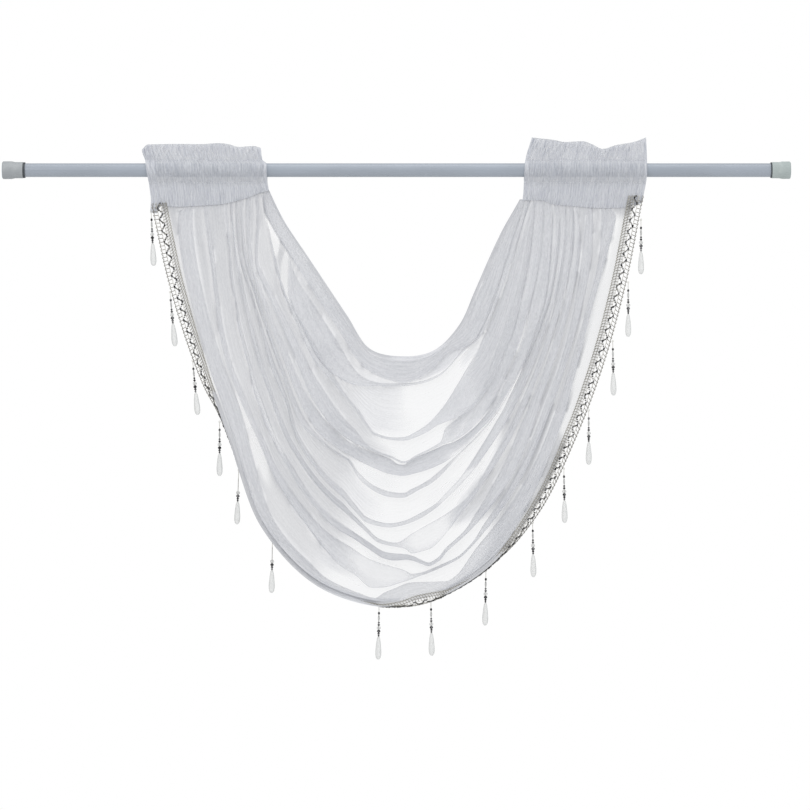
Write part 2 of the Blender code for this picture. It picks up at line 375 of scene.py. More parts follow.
VOILE = Voile("voile_crinkled", (0.800, 0.810, 0.842), (0.670, 0.685, 0.725), 0.27, Fall.HANGING)
# A darker, bluer copy of the hanging voile for the headings: painted shade of the dense gathers there.
GATHERED = Voile("voile_gathered", (0.770, 0.788, 0.828), (0.590, 0.612, 0.675), 0.27, Fall.GATHERED)
SEWING = LaceCotton("sewing_thread", (0.86, 0.87, 0.90), (0.70, 0.72, 0.76))
COTTON = LaceCotton("lace_cotton", (0.80, 0.785, 0.715), (0.56, 0.545, 0.49))
CORD = LaceCotton("lace_cord", (0.47, 0.455, 0.415), (0.24, 0.23, 0.205))
SEED = DarkSilver("seed_bead_silver", (0.040, 0.040, 0.042), (0.24, 0.24, 0.25))
SMOKE = DarkSilver("seed_bead_pale", (0.13, 0.13, 0.12), (0.44, 0.43, 0.40))
CRYSTAL = ClearGlass("crystal_clear", (0.80, 0.815, 0.81), (0.52, 0.535, 0.53), 0.36)
RICE = ClearGlass("rice_bead_smoke", (0.70, 0.71, 0.71), (0.34, 0.345, 0.345), 0.50)
PAINT = SatinPaint("rod_satin_paint", (0.385, 0.430, 0.495), (0.56, 0.60, 0.65))
CAP_LEFT = Moulded("cap_rubber_grey", (0.375, 0.400, 0.418), (0.43, 0.455, 0.470), 0.5)
CAP_RIGHT = Moulded("cap_rubber_pale", (0.430, 0.490, 0.485), (0.50, 0.56, 0.55), 0.5)
# Near black where the tube enters each cap: a dark insert's own colour, made darker as painted shade of the gap
# there.
COLLAR = Moulded("collar_insert_gap_shade", (0.045, 0.055, 0.065), (0.09, 0.10, 0.11), 0.6)


def through(knots: Knots, places: Array) -> Array:
    """Follows given knots, without going past them.

    Args:
        knots: the (place, value) pairs, in order.
        places: where to read the line.

    Returns:
        The values there.
    """
    at = np.array([k[0] for k in knots])
    value = np.array([k[1] for k in knots])
    step = np.diff(at)
    rise = np.diff(value) / step
    slope = np.concatenate(([rise[0]], np.zeros(len(at) - 2), [rise[-1]]))
    before, after = rise[:-1], rise[1:]
    same = before * after > 0
    total = np.where(same, before + after, 1.0)
    slope[1:-1] = np.where(same, 2 * before * after / total, 0.0)
    near = np.clip(np.searchsorted(at, places, side="right") - 1, 0, len(at) - 2)
    t = np.clip((places - at[near]) / step[near], 0, 1)
    start, end = value[near], value[near + 1]
    bend = t * (1 - t) * ((1 - t) * slope[near] - t * slope[near + 1]) * step[near]
    return start + (end - start) * t * t * (3 - 2 * t) + bend


def smooth(values: Sequence[float], places: Array) -> Array:
    """Follows values set at even shares, softly, as the solids do.

    Args:
        values: the values, from place 0 to place 1.
        places: where to read the line.

    Returns:
        The values there.
    """
    table = np.array(values, float)
    spot = np.clip(places, 0, 1) * (len(table) - 1)
    index = np.clip(spot.astype(int), 0, len(table) - 2)
    t = spot - index
    before, start = table[np.maximum(index - 1, 0)], table[index]
    end, after = table[index + 1], table[np.minimum(index + 2, len(table) - 1)]
    bend = (before - 2 * start + end) * t * (1 - t) ** 2 + (start - 2 * end + after) * t * t * (1 - t)
    return start + (end - start) * t - bend / 2


def thousandths(*knots: tuple[int, ...]) -> tuple[tuple[float, ...], ...]:
    """Knots that are set in thousandths."""
    return tuple(tuple(number / 1000 for number in knot) for knot in knots)


def soft_step(low: float, high: float, values: Array) -> Array:
    """Goes softly from 0 at low to 1 at high."""
    t = np.clip((values - low) / (high - low), 0, 1)
    return t * t * (3 - 2 * t)


class Shape:
    """The points and faces of a piece while it is made."""

    def __init__(self) -> None:
        """Starts empty."""
        self.points: list[Vector] = []
        self.faces: list[tuple[int, ...]] = []
        self.coats: list[int] = []
        self.flat: list[bool] = []

    def face(self, corners: Sequence[int], coat: int, flat: bool) -> None:
        """Adds one face."""
        self.faces.append(tuple(corners))
        self.coats.append(coat)
        self.flat.append(flat)

    def stack(self, rings: Sequence[Sequence[Vector]], coat: int = 0, flat: bool = False) -> None:
        """Joins rings of equal count into a closed form, with a face on each end.

        Args:
            rings: the rings, from one end to the other.
            coat: the material's number.
            flat: whether its faces stay sharp, as on cut glass.
        """
        first = len(self.points)
        count = len(rings[0])
        for ring in rings:
            self.points.extend(ring)
        for level in range(len(rings) - 1):
            low = first + level * count
            for side in range(count):
                turn = (side + 1) % count
                self.face((low + side, low + turn, low + count + turn, low + count + side), coat, flat)
        self.face([first + side for side in reversed(range(count))], coat, flat)
        last = first + (len(rings) - 1) * count
        self.face([last + side for side in range(count)], coat, flat)

    def tube(self, path: Sequence[Vector], radius: float, sides: int = 5, coat: int = 0) -> None:
        """Sweeps a round cord along a path of points."""
        rings = []
        side = Vector((0, 1, 0))
        for index, point in enumerate(path):
            ahead = path[min(index + 1, len(path) - 1)] - path[max(index - 1, 0)]
            ahead = ahead.normalized()
            side = side - ahead * side.dot(ahead)
            side = side.normalized() if side.length > 1e-3 else ahead.orthogonal().normalized()
            other = ahead.cross(side)
            angles = [2 * math.pi * k / sides for k in range(sides)]
            rings.append([point + (side * math.cos(a) + other * math.sin(a)) * radius for a in angles])
        self.stack(rings, coat)

    def turned(
        self, top: Vector, down: Vector, profile: Sequence[Knot], sides: int, coat: int, flat: bool = False
    ) -> None:
        """Turns a profile of (radius, distance) about a line.

        Args:
            top: where the line starts.
            down: the line's direction.
            profile: the radius at each distance.
            sides: how many sides it has.
            coat: the material's number.
            flat: whether its faces stay sharp.
        """
        side = down.orthogonal().normalized()
        other = down.cross(side)
        angles = [2 * math.pi * (k + 0.5) / sides for k in range(sides)]
        spokes = [side * math.cos(a) + other * math.sin(a) for a in angles]
        rings = [[top + down * along + spoke * radius for spoke in spokes] for radius, along in profile]
        self.stack(rings, coat, flat)

    def bead(self, centre: Vector, down: Vector, width: float, length: float, sides: int, coat: int) -> None:
        """Adds a round or long bead."""
        rings = 5
        profile = []
        for level in range(rings + 1):
            angle = math.pi * (0.08 + 0.84 * level / rings)
            profile.append((width / 2 * math.sin(angle), -length / 2 * math.cos(angle)))
        self.turned(centre, down, profile, sides, coat)

    def piece(self, name: str, finishes: Sequence[bpy.types.Material]) -> bpy.types.Object:
        """Makes the object, in metres.

        Args:
            name: the piece's name.
            finishes: its materials.

        Returns:
            The object, in the scene.
        """
        mesh = bpy.data.meshes.new(name)
        mesh.from_pydata([p * MM for p in self.points], [], self.faces)
        for finish in finishes:
            mesh.materials.append(finish)
        mesh.polygons.foreach_set("material_index", self.coats)
        mesh.polygons.foreach_set("use_smooth", [not flat for flat in self.flat])
        return placed(name, mesh)


def placed(name: str, mesh: bpy.types.Mesh) -> bpy.types.Object:
    """Puts a finished mesh in the scene as one object."""
    mesh.update()
    made = bpy.data.objects.new(name, mesh)
    bpy.context.scene.collection.objects.link(made)
    return made


def cloth_piece(
    name: str, grid: Array, place: Array, weights: dict[str, Array], finish: bpy.types.Material
) -> bpy.types.Object:
    """Makes a sheet of cloth from rows of points.

    Args:
        name: the piece's name.
        grid: the points in millimetres, rows by columns by 3.
        place: each point's place on the flat cloth in millimetres, rows by columns by 2.
        weights: each point's weight of thread, and its painted pleat shade, by name.
        finish: its material.

    Returns:
        The object, in the scene.
    """
    rows, columns = grid.shape[:2]
    corner = (np.arange(rows - 1)[:, None] * columns + np.arange(columns - 1)[None, :]).ravel()
    faces = np.stack([corner, corner + 1, corner + columns + 1, corner + columns], 1)
    mesh = bpy.data.meshes.new(name)
    mesh.from_pydata((grid.reshape(-1, 3) * MM).tolist(), [], faces.tolist())
    chart = mesh.uv_layers.new(name="cloth")
    chart.data.foreach_set("uv", (place.reshape(-1, 2) * MM)[faces.ravel()].astype(np.float32).ravel())
    for kind, values in weights.items():
        layer = mesh.attributes.new(kind, "FLOAT", "POINT")
        layer.data.foreach_set("value", values.astype(np.float32).ravel())
    mesh.polygons.foreach_set("use_smooth", [True] * len(faces))
    mesh.materials.append(finish)
    return placed(name, mesh)


def slant(across: Array, forward: Array, most: float) -> Array:
    """How much more thread a look from the front meets where the cloth turns away.

    Args:
        across: the steps between points as seen from the front.
        forward: the steps from front to back.
        most: the limit.

    Returns:
        The factor at each point, from 1 up.
    """
    return np.clip(np.sqrt(across**2 + forward**2) / np.maximum(across, 1e-4), 1.0, most)


@dataclass(frozen=True)
class Hang:
    """The lines that the swag hangs in, at even shares of its run from the left heading to the right one."""

    inner_x: tuple[float, ...] = (309, 328, 352, 376, 400, 426, 466, 502, 530, 547, 563, 580, 600)
    inner_z: tuple[float, ...] = (-24, -61, -97, -133, -169, -207, -216, -208, -179, -142, -105, -69, -35)
    rim_x: tuple[float, ...] = (172, 193, 224, 264, 301, 370, 466, 553, 620, 664, 698, 724, 742)
    rim_z: tuple[float, ...] = (-36, -133, -229, -320, -415, -485, -507, -472, -401, -314, -224, -130, -38)
    edge_turn: tuple[float, ...] = (5, 15, 42, 80, 106, 104, 85, 72, 48, 26, 20, 16, 12)
    flap: float = 8.0
    hinge: float = 3.6
    lap: float = 3.4
    lift: float = 2.3
    braid_width: float = 15.0
    braid_hinges: Knots = (
        (0, 7), (0.12, 7), (0.16, 5), (0.20, 0.5), (0.235, -2.5), (0.44, -2.7), (0.47, -1.5), (0.495, 1),
        (0.515, 5.8), (0.53, 5), (0.548, 0), (0.58, -1.5), (0.60, -1), (0.63, 2.5), (0.66, 5), (0.70, 7), (1, 7),
    )
    braid_turns: Knots = (
        (0, 5), (0.083, 15), (0.167, 42), (0.20, 60), (0.235, 80), (0.30, 95), (0.42, 99), (0.47, 92),
        (0.515, 70), (0.55, 82), (0.60, 78), (0.63, 65), (0.67, 42), (0.72, 27), (0.80, 20), (0.92, 16), (1, 12),
    )
    braid_tucks: Knots = (
        (0, 0), (0.185, 0), (0.22, 2.4), (0.455, 2.4), (0.485, 0.7), (0.505, 0), (0.53, 0), (0.552, 1.5),
        (0.60, 1.5), (0.64, 0), (1, 0),
    )
    full_tuck: float = 2.4
    tuck_depth: float = 3.2
    least_lift: float = 0.6
    belly: float = 16.0
    seam_fade: float = 0.08
    seams: tuple[tuple[float, float, tuple[float, ...]], ...] = (
        (172, 309, (-36, -43, -42, -40, -32, -24)),
        (601, 743, (-35, -35, -41, -44, -44, -38)),
    )

    def edges(self, runs: Array) -> tuple[Array, Array, Array, Array]:
        """The hanging cloth's two edges.

        Args:
            runs: shares of the run.

        Returns:
            The inner edge, the outer edge, the rim and the direction across, each as x and z.
        """
        inner = np.stack([smooth(self.inner_x, runs), smooth(self.inner_z, runs)], -1)
        limit = np.stack([smooth(self.rim_x, runs), smooth(self.rim_z, runs)], -1)
        turn = np.radians(smooth(self.edge_turn, runs))
        across = limit - inner
        across /= np.linalg.norm(across, axis=-1, keepdims=True)
        face_on = np.maximum(np.cos(turn), 0)[..., None]
        edge = limit - across * (self.flap * face_on + self.hinge)
        return inner, edge, limit, across

    def cloth(self, runs: Array, shares: Array) -> tuple[Array, Array, Array]:
        """Where a share of the cloth's width hangs, without its folds.

        Args:
            runs: shares of the run.
            shares: shares of the width.

        Returns:
            x, y and z.
        """
        inner, edge, _, _ = self.edges(runs)
        spot = inner + (edge - inner) * shares[..., None]
        x, z = spot[..., 0], spot[..., 1]
        y = -self.belly * np.sin(np.pi * runs) * np.sin(np.pi * (0.15 + 0.7 * shares))
        for end, (start_x, end_x, heights) in zip((0.0, 1.0), self.seams):
            near = np.maximum(1 - np.abs(runs - end) / self.seam_fade, 0) ** 2
            inner, edge, _, _ = self.edges(np.full_like(runs, end))
            top = inner + (edge - inner) * shares[..., None]
            height = smooth(heights, (top[..., 0] - start_x) / (end_x - start_x)) + 1.2
            z = z + (height - top[..., 1]) * near
        return x, y, z

    def crease(self, runs: Array) -> tuple[Array, Array, Array]:
        """Where the braid turns under.

        Args:
            runs: shares of the run.

        Returns:
            The line's place as x and z, its distance across the braid, and the turn.
        """
        _, _, limit, outward = self.edges(runs)
        at = through(self.braid_hinges, runs)
        turn = np.radians(through(self.braid_turns, runs))
        seen = (self.braid_width - at) * np.maximum(np.cos(turn), 0)
        return limit - outward * seen[..., None], at, turn

    def last_share(self, runs: Array) -> Array:
        """The share of the width at which the cloth ends under the braid."""
        inner, edge, _, outward = self.edges(runs)
        place, at, _ = self.crease(runs)
        end = place - outward * np.clip(at - self.lap, 0, self.hinge)[..., None]
        return ((end - inner) * outward).sum(-1) / np.linalg.norm(edge - inner, axis=-1)

    def tucked(self, runs: Array) -> Array:
        """How far the braid lies behind the cloth's edge: 1 where it is turned under, 0 where it shows."""
        return np.clip(through(self.braid_tucks, runs) / self.full_tuck, 0, 1)

    def strip(self, runs: Array) -> tuple[Array, Array, Array, Array]:
        """The braid's place and ways.

        Args:
            runs: shares of the run.

        Returns:
            The line that it turns at, the way across before it, the way after it, and its distance across.
        """
        inner, edge, _, outward = self.edges(runs)
        place, at, turn = self.crease(runs)
        share = self.last_share(runs)
        _, y, _ = self.cloth(runs, np.ones_like(runs))
        _, _, z = self.cloth(runs, share)
        plain = inner + (edge - inner) * share[..., None]
        behind = self.tucked(runs)
        raised = self.least_lift + (self.lift - self.least_lift) * soft_step(-2, 4, at)
        lift = raised * (1 - behind) - self.tuck_depth * behind
        place = place - outward * through(self.braid_tucks, runs)[..., None]
        none = np.zeros_like(y)
        spot = np.stack([place[..., 0], y - lift, place[..., 1] + z - plain[..., 1]], -1)
        flat = np.stack([outward[..., 0], none, outward[..., 1]], -1)
        flap = flat * np.cos(turn)[..., None] + np.stack([none, none + 1, none], -1) * np.sin(turn)[..., None]
        return spot, flat, flap, at


@dataclass(frozen=True)
class Fold:
    """One lap of the swag.

    Its crease is where the front layer turns back, its turn is where the layer behind comes down again, and
    its stack says how many small pleats lie inside. All are set along the run.
    """

    crease: Knots
    turn: Knots
    depth: float
    stack: Knots


@dataclass(frozen=True)
class Patch:
    """A place with more or less cloth than around it.

    Its line is set along the run as (run, share, half its width), and its layers are what a look through it
    meets.
    """

    line: tuple[tuple[float, float, float], ...]
    layers: float
    blur: float = 0.3
    fade: float = 0.012


FOLDS = (
    Fold(
        thousandths(
            (0, 35), (60, 110), (104, 105), (140, 100), (250, 90), (333, 80), (417, 83), (458, 95),
            (500, 108), (542, 90), (583, 60), (604, 50), (625, 60), (646, 90), (667, 115), (700, 140),
            (750, 150), (833, 130), (917, 100), (1000, 45),
        ),
        thousandths(
            (0, 10), (200, 20), (500, 15), (600, 10), (800, 30), (1000, 12),
        ),
        8,
        ((0, 1.2), (0.35, 2.0), (0.5, 2.6), (0.65, 2.0), (1, 1.2)),
    ),
    Fold(
        thousandths(
            (0, 50), (60, 117), (104, 112), (133, 105), (146, 120), (167, 172), (188, 228), (200, 250),
            (250, 262), (292, 262), (333, 248), (360, 225), (390, 190), (420, 155), (450, 130),
            (500, 120), (542, 119), (583, 118), (625, 108), (646, 112), (667, 124), (700, 157),
            (750, 175), (833, 172), (1000, 90),
        ),
        thousandths(
            (0, 40), (60, 100), (133, 90), (167, 130), (200, 140), (250, 130), (333, 120), (390, 125),
            (430, 120), (500, 108), (583, 108), (646, 100), (700, 140), (833, 120), (1000, 60),
        ),
        9,
        ((0, 1.2), (0.15, 1.0), (0.3, 1.6), (0.41, 1.2), (0.5, 1.6), (0.65, 1.6), (1, 1.2)),
    ),
    Fold(
        thousandths(
            (0, 75), (42, 117), (62, 133), (83, 152), (104, 180), (125, 205), (146, 232), (167, 252),
            (200, 272), (250, 286), (292, 290), (333, 275), (375, 257), (396, 255), (417, 270),
            (438, 305), (452, 330), (479, 338), (500, 340), (521, 332), (542, 322), (562, 312),
            (583, 320), (604, 335), (646, 360), (700, 360), (750, 360), (833, 320), (917, 250),
            (1000, 130),
        ),
        thousandths(
            (0, 65), (62, 122), (104, 166), (146, 215), (200, 256), (250, 250), (292, 235), (333, 235),
            (375, 238), (417, 252), (438, 292), (452, 320), (479, 328), (500, 326), (521, 310),
            (542, 292), (562, 268), (583, 242), (604, 218), (625, 200), (646, 188), (670, 183),
            (700, 180), (750, 190), (833, 180), (917, 140), (1000, 75),
        ),
        12,
        ((0, 1.4), (0.3, 2.0), (0.45, 2.2), (0.52, 2.0), (0.6, 4.2), (0.7, 2.6), (1, 1.4)),
    ),
    Fold(
        thousandths(
            (0, 120), (42, 170), (62, 215), (83, 270), (104, 320), (125, 360), (146, 370), (167, 366),
            (208, 375), (250, 385), (292, 392), (333, 402), (375, 402), (417, 390), (438, 390),
            (458, 397), (479, 410), (500, 432), (521, 412), (542, 402), (562, 400), (583, 410),
            (604, 420), (646, 430), (700, 430), (750, 430), (833, 400), (917, 340), (1000, 200),
        ),
        thousandths(
            (0, 90), (62, 190), (104, 298), (125, 335), (167, 330), (250, 330), (333, 325), (375, 325),
            (417, 335), (440, 370), (458, 390), (479, 402), (500, 424), (521, 404), (542, 394),
            (562, 385), (575, 340), (604, 335), (646, 340), (700, 300), (833, 270), (1000, 140),
        ),
        9,
        ((0, 1.4), (0.3, 1.8), (0.4, 4.0), (0.45, 2.6), (0.5, 1.4), (0.6, 1.2), (0.7, 2.4), (1, 1.4)),
    ),
    Fold(
        thousandths(
            (0, 190), (62, 310), (104, 385), (146, 415), (188, 435), (250, 460), (333, 475), (354, 478),
            (375, 468), (396, 455), (417, 447), (438, 452), (458, 462), (479, 475), (500, 482),
            (521, 477), (562, 475), (583, 472), (604, 467), (625, 465), (646, 473), (667, 480),
            (700, 487), (730, 505), (760, 510), (833, 500), (917, 420), (1000, 270),
        ),
        thousandths(
            (0, 150), (104, 350), (146, 385), (250, 420), (333, 415), (375, 407), (417, 397), (438, 397),
            (458, 402), (479, 415), (490, 434), (500, 438), (510, 420), (542, 405), (562, 404),
            (583, 416), (604, 425), (646, 438), (700, 440), (750, 440), (833, 400), (1000, 220),
        ),
        10,
        ((0, 1.4), (0.3, 2.0), (0.36, 4.4), (0.5, 4.4), (0.62, 5.0), (0.7, 3.0), (1, 1.4)),
    ),
    Fold(
        thousandths(
            (0, 250), (62, 365), (104, 420), (146, 445), (188, 470), (250, 505), (292, 520), (333, 530),
            (360, 505), (380, 485), (417, 472), (438, 520), (458, 550), (479, 567), (500, 570),
            (510, 560), (521, 548), (542, 535), (562, 512), (583, 488), (604, 478), (650, 486),
            (700, 495), (750, 520), (833, 530), (917, 480), (1000, 340),
        ),
        thousandths(
            (0, 220), (104, 395), (188, 450), (250, 480), (333, 495), (380, 478), (417, 462), (438, 500),
            (458, 530), (479, 546), (500, 552), (510, 540), (521, 532), (542, 514), (562, 494),
            (583, 478), (604, 472), (650, 480), (750, 500), (833, 490), (1000, 300),
        ),
        15,
        ((0, 1.4), (0.3, 1.6), (0.4, 1.5), (0.5, 2.0), (0.6, 1.2), (0.7, 2.4), (1, 1.4)),
    ),
    Fold(
        thousandths(
            (0, 290), (62, 400), (104, 455), (146, 475), (167, 488), (188, 507), (208, 530), (250, 565),
            (271, 562), (292, 558), (312, 577), (333, 592), (354, 600), (375, 603), (396, 607),
            (417, 617), (438, 650), (455, 685), (479, 690), (500, 680), (521, 665), (542, 645),
            (562, 622), (583, 603), (604, 590), (625, 577), (646, 570), (667, 567), (700, 570),
            (750, 580), (833, 570), (917, 530), (1000, 400),
        ),
        thousandths(
            (0, 270), (104, 435), (188, 490), (250, 530), (292, 535), (333, 570), (375, 580), (417, 590),
            (438, 628), (455, 665), (479, 675), (500, 665), (521, 645), (542, 628), (562, 600),
            (583, 577), (604, 552), (625, 532), (646, 520), (667, 512), (700, 510), (730, 517),
            (833, 520), (1000, 370),
        ),
        15,
        ((0, 1.4), (0.3, 2.2), (0.4, 3.2), (0.46, 1.5), (0.53, 1.5), (0.6, 3.6), (0.7, 3.0), (1, 1.4)),
    ),
    Fold(
        thousandths(
            (0, 350), (62, 440), (104, 500), (146, 545), (188, 590), (250, 640), (333, 645), (375, 650),
            (417, 665), (438, 690), (455, 722), (470, 755), (490, 767), (500, 775), (510, 800),
            (530, 800), (550, 770), (560, 750), (575, 720), (590, 700), (625, 665), (660, 650),
            (700, 640), (750, 640), (833, 630), (917, 600), (1000, 460),
        ),
        thousandths(
            (0, 330), (104, 470), (188, 560), (250, 610), (333, 620), (417, 640), (438, 670), (455, 705),
            (470, 740), (490, 752), (510, 720), (530, 700), (550, 690), (575, 680), (600, 665),
            (625, 635), (660, 610), (700, 600), (750, 600), (833, 580), (1000, 430),
        ),
        13,
        ((0, 1.4), (0.3, 1.8), (0.4, 1.8), (0.46, 1.6), (0.52, 1.0), (0.6, 1.8), (0.7, 2.4), (1, 1.4)),
    ),
    Fold(
        thousandths(
            (0, 400), (62, 490), (83, 517), (104, 557), (125, 590), (146, 610), (167, 650), (188, 670),
            (208, 690), (250, 735), (271, 737), (312, 718), (333, 717), (354, 727), (375, 732),
            (396, 738), (417, 752), (438, 760), (458, 785), (479, 818), (490, 823), (500, 822),
            (510, 830), (521, 853), (530, 870), (542, 862), (550, 842), (562, 828), (575, 818),
            (600, 800), (646, 780), (700, 750), (750, 720), (833, 700), (917, 660), (1000, 500),
        ),
        thousandths(
            (0, 370), (83, 500), (125, 570), (167, 625), (208, 665), (250, 700), (292, 700), (333, 690),
            (375, 705), (417, 722), (438, 735), (458, 760), (479, 792), (500, 800), (510, 812),
            (521, 838), (530, 857), (542, 846), (550, 825), (562, 812), (575, 800), (600, 755),
            (646, 700), (700, 660), (750, 660), (833, 650), (1000, 470),
        ),
        15,
        ((0, 1.4), (0.2, 2.6), (0.33, 3.6), (0.5, 4.2), (0.56, 2.5), (0.62, 2.6), (0.7, 2.4), (1, 1.4)),
    ),
    Fold(
        thousandths(
            (0, 600), (62, 665), (83, 690), (104, 715), (125, 750), (146, 785), (167, 810), (188, 828),
            (208, 838), (250, 840), (271, 825), (292, 812), (312, 810), (333, 810), (375, 820),
            (417, 865), (430, 887), (450, 907), (465, 940), (479, 932), (500, 910), (521, 897),
            (542, 894), (562, 895), (583, 878), (604, 860), (646, 840), (700, 820), (750, 810),
            (833, 790), (917, 760), (1000, 640),
        ),
        thousandths(
            (0, 560), (83, 650), (125, 715), (167, 770), (208, 800), (250, 800), (292, 775), (333, 765),
            (375, 772), (417, 790), (438, 800), (458, 825), (479, 842), (490, 852), (500, 865),
            (510, 885), (521, 887), (542, 883), (562, 885), (583, 867), (604, 830), (646, 800),
            (700, 770), (750, 760), (833, 740), (1000, 600),
        ),
        12,
        ((0, 1.4), (0.2, 2.4), (0.33, 1.6), (0.45, 1.0), (0.5, 1.2), (0.56, 2.0), (0.65, 2.4), (1, 1.4)),
    ),
    Fold(
        thousandths(
            (0, 780), (20, 860), (62, 920), (83, 930), (125, 940), (167, 955), (208, 965), (250, 980),
            (330, 990), (480, 990), (620, 985), (660, 955), (700, 932), (750, 920), (790, 890),
            (833, 870), (854, 860), (875, 857), (917, 866), (975, 880), (1000, 800),
        ),
        thousandths(
            (0, 700), (62, 790), (104, 820), (146, 840), (188, 852), (208, 855), (250, 870), (271, 885),
            (292, 893), (312, 905), (333, 928), (354, 940), (396, 945), (417, 962), (450, 972),
            (470, 982), (479, 955), (490, 936), (505, 918), (520, 926), (540, 950), (550, 962),
            (560, 955), (575, 922), (590, 895), (620, 875), (667, 860), (750, 850), (833, 820),
            (917, 815), (1000, 720),
        ),
        9,
        ((0, 1.2), (0.12, 1.2), (0.24, 3.0), (0.33, 4.5), (0.45, 3.0), (0.52, 2.0), (0.6, 3.0), (1, 1.4)),
    ),
)

PATCHES = (
    Patch(
        thousandths((250, 35, 50), (400, 35, 50), (500, 45, 55), (570, 40, 60), (660, 30, 50)),
        4.6, 0.15,
    ),
    Patch(thousandths((560, 75, 12), (600, 70, 30), (640, 80, 20), (670, 100, 10)), 6.0),
    Patch(
        thousandths((62, 160, 20), (83, 210, 55), (104, 245, 70), (125, 275, 75), (150, 310, 50), (170, 330, 20)),
        4.0,
    ),
    Patch(
        thousandths((170, 120, 20), (200, 170, 70), (230, 180, 70), (260, 190, 60), (300, 220, 20)),
        4.4, 0.5,
    ),
    Patch(
        thousandths((100, 700, 20), (125, 720, 30), (167, 745, 45), (200, 755, 50), (240, 770, 20)),
        4.6, 0.5,
    ),
    Patch(
        thousandths((90, 850, 20), (125, 865, 50), (167, 890, 55), (210, 900, 50), (250, 910, 20)),
        4.3, 0.5,
    ),
    Patch(thousandths((320, 860, 30), (360, 865, 60), (400, 865, 60), (440, 875, 40)), 3.6, 0.4, 0.02),
    Patch(thousandths((325, 530, 40), (360, 535, 50), (400, 530, 60), (425, 540, 50)), 3.9, 0.4, 0.02),
    Patch(thousandths((370, 170, 70), (440, 200, 100), (490, 210, 100)), 3.4, 0.2, 0.035),
    Patch(thousandths((380, 295, 30), (420, 300, 35), (445, 320, 20)), 4.0, 0.3, 0.02),
    Patch(thousandths((430, 490, 20), (460, 505, 30), (487, 510, 30)), 1.5),
    Patch(thousandths((415, 570, 30), (440, 600, 50), (460, 620, 40)), 2.8, 0.5, 0.02),
    Patch(thousandths((445, 840, 20), (470, 865, 45), (490, 875, 35), (505, 885, 12)), 1.35),
    Patch(thousandths((503, 745, 20), (520, 745, 45), (545, 735, 45), (560, 720, 30)), 1.0),
    Patch(thousandths((575, 370, 30), (600, 370, 45), (640, 385, 35), (665, 390, 10)), 3.6, 0.5),
    Patch(
        thousandths((565, 720, 30), (600, 710, 55), (640, 700, 60), (680, 700, 40), (730, 700, 15)),
        4.6, 0.5,
    ),
    Patch(thousandths((580, 400, 10), (600, 390, 12), (620, 375, 8)), 2.4),
    Patch(thousandths((660, 665, 20), (700, 665, 20), (760, 655, 12), (850, 640, 12)), 5.0, 0.8),
    Patch(thousandths((800, 800, 30), (860, 790, 35), (930, 780, 40), (985, 780, 40)), 6.2, 0.8),
    Patch(thousandths((880, 830, 20), (930, 825, 30), (985, 830, 30)), 4.8, 0.6),
    Patch(thousandths((55, 122, 8), (83, 128, 25), (104, 137, 38), (120, 165, 28), (135, 196, 6)), 1.2),
    Patch(thousandths((130, 100, 8), (150, 155, 45), (167, 200, 40), (185, 235, 22), (205, 260, 6)), 2.0),
    Patch(
        thousandths((200, 840, 4), (230, 848, 10), (250, 853, 18), (275, 850, 32), (300, 848, 38), (320, 850, 30)),
        1.6,
    ),
    Patch(thousandths((12, 975, 55), (100, 980, 38), (210, 990, 22)), 1.4, 0.12),
    Patch(
        thousandths((735, 965, 30), (770, 965, 50), (800, 960, 65), (850, 955, 82), (900, 955, 85),
            (985, 960, 75)),
        1.5, 0.12,
    ),
    Patch(thousandths((570, 500, 50), (625, 495, 30), (660, 497, 16), (700, 500, 11), (750, 516, 5)), 1.1),
    Patch(thousandths((530, 600, 20), (560, 600, 35), (590, 600, 35), (625, 605, 12)), 1.3),
    Patch(thousandths((500, 180, 60), (580, 165, 55), (625, 150, 42), (660, 155, 30), (710, 170, 8)), 1.0),
    Patch(thousandths((640, 152, 20), (670, 155, 26), (705, 168, 10)), 3.0),
    Patch(thousandths((210, 698, 5), (250, 716, 9), (270, 716, 9), (325, 700, 8)), 2.2),
    Patch(thousandths((85, 507, 4), (125, 572, 6), (210, 678, 6)), 3.6),
    Patch(thousandths((145, 455, 5), (200, 500, 7), (250, 540, 8), (330, 545, 6)), 4.2),
    Patch(thousandths((885, 710, 12), (905, 686, 16), (917, 668, 18), (929, 651, 16), (950, 625, 12)), 8.5),
    Patch(thousandths((740, 440, 10), (755, 427, 12), (772, 412, 12), (789, 394, 12), (805, 380, 8)), 8.0),
)


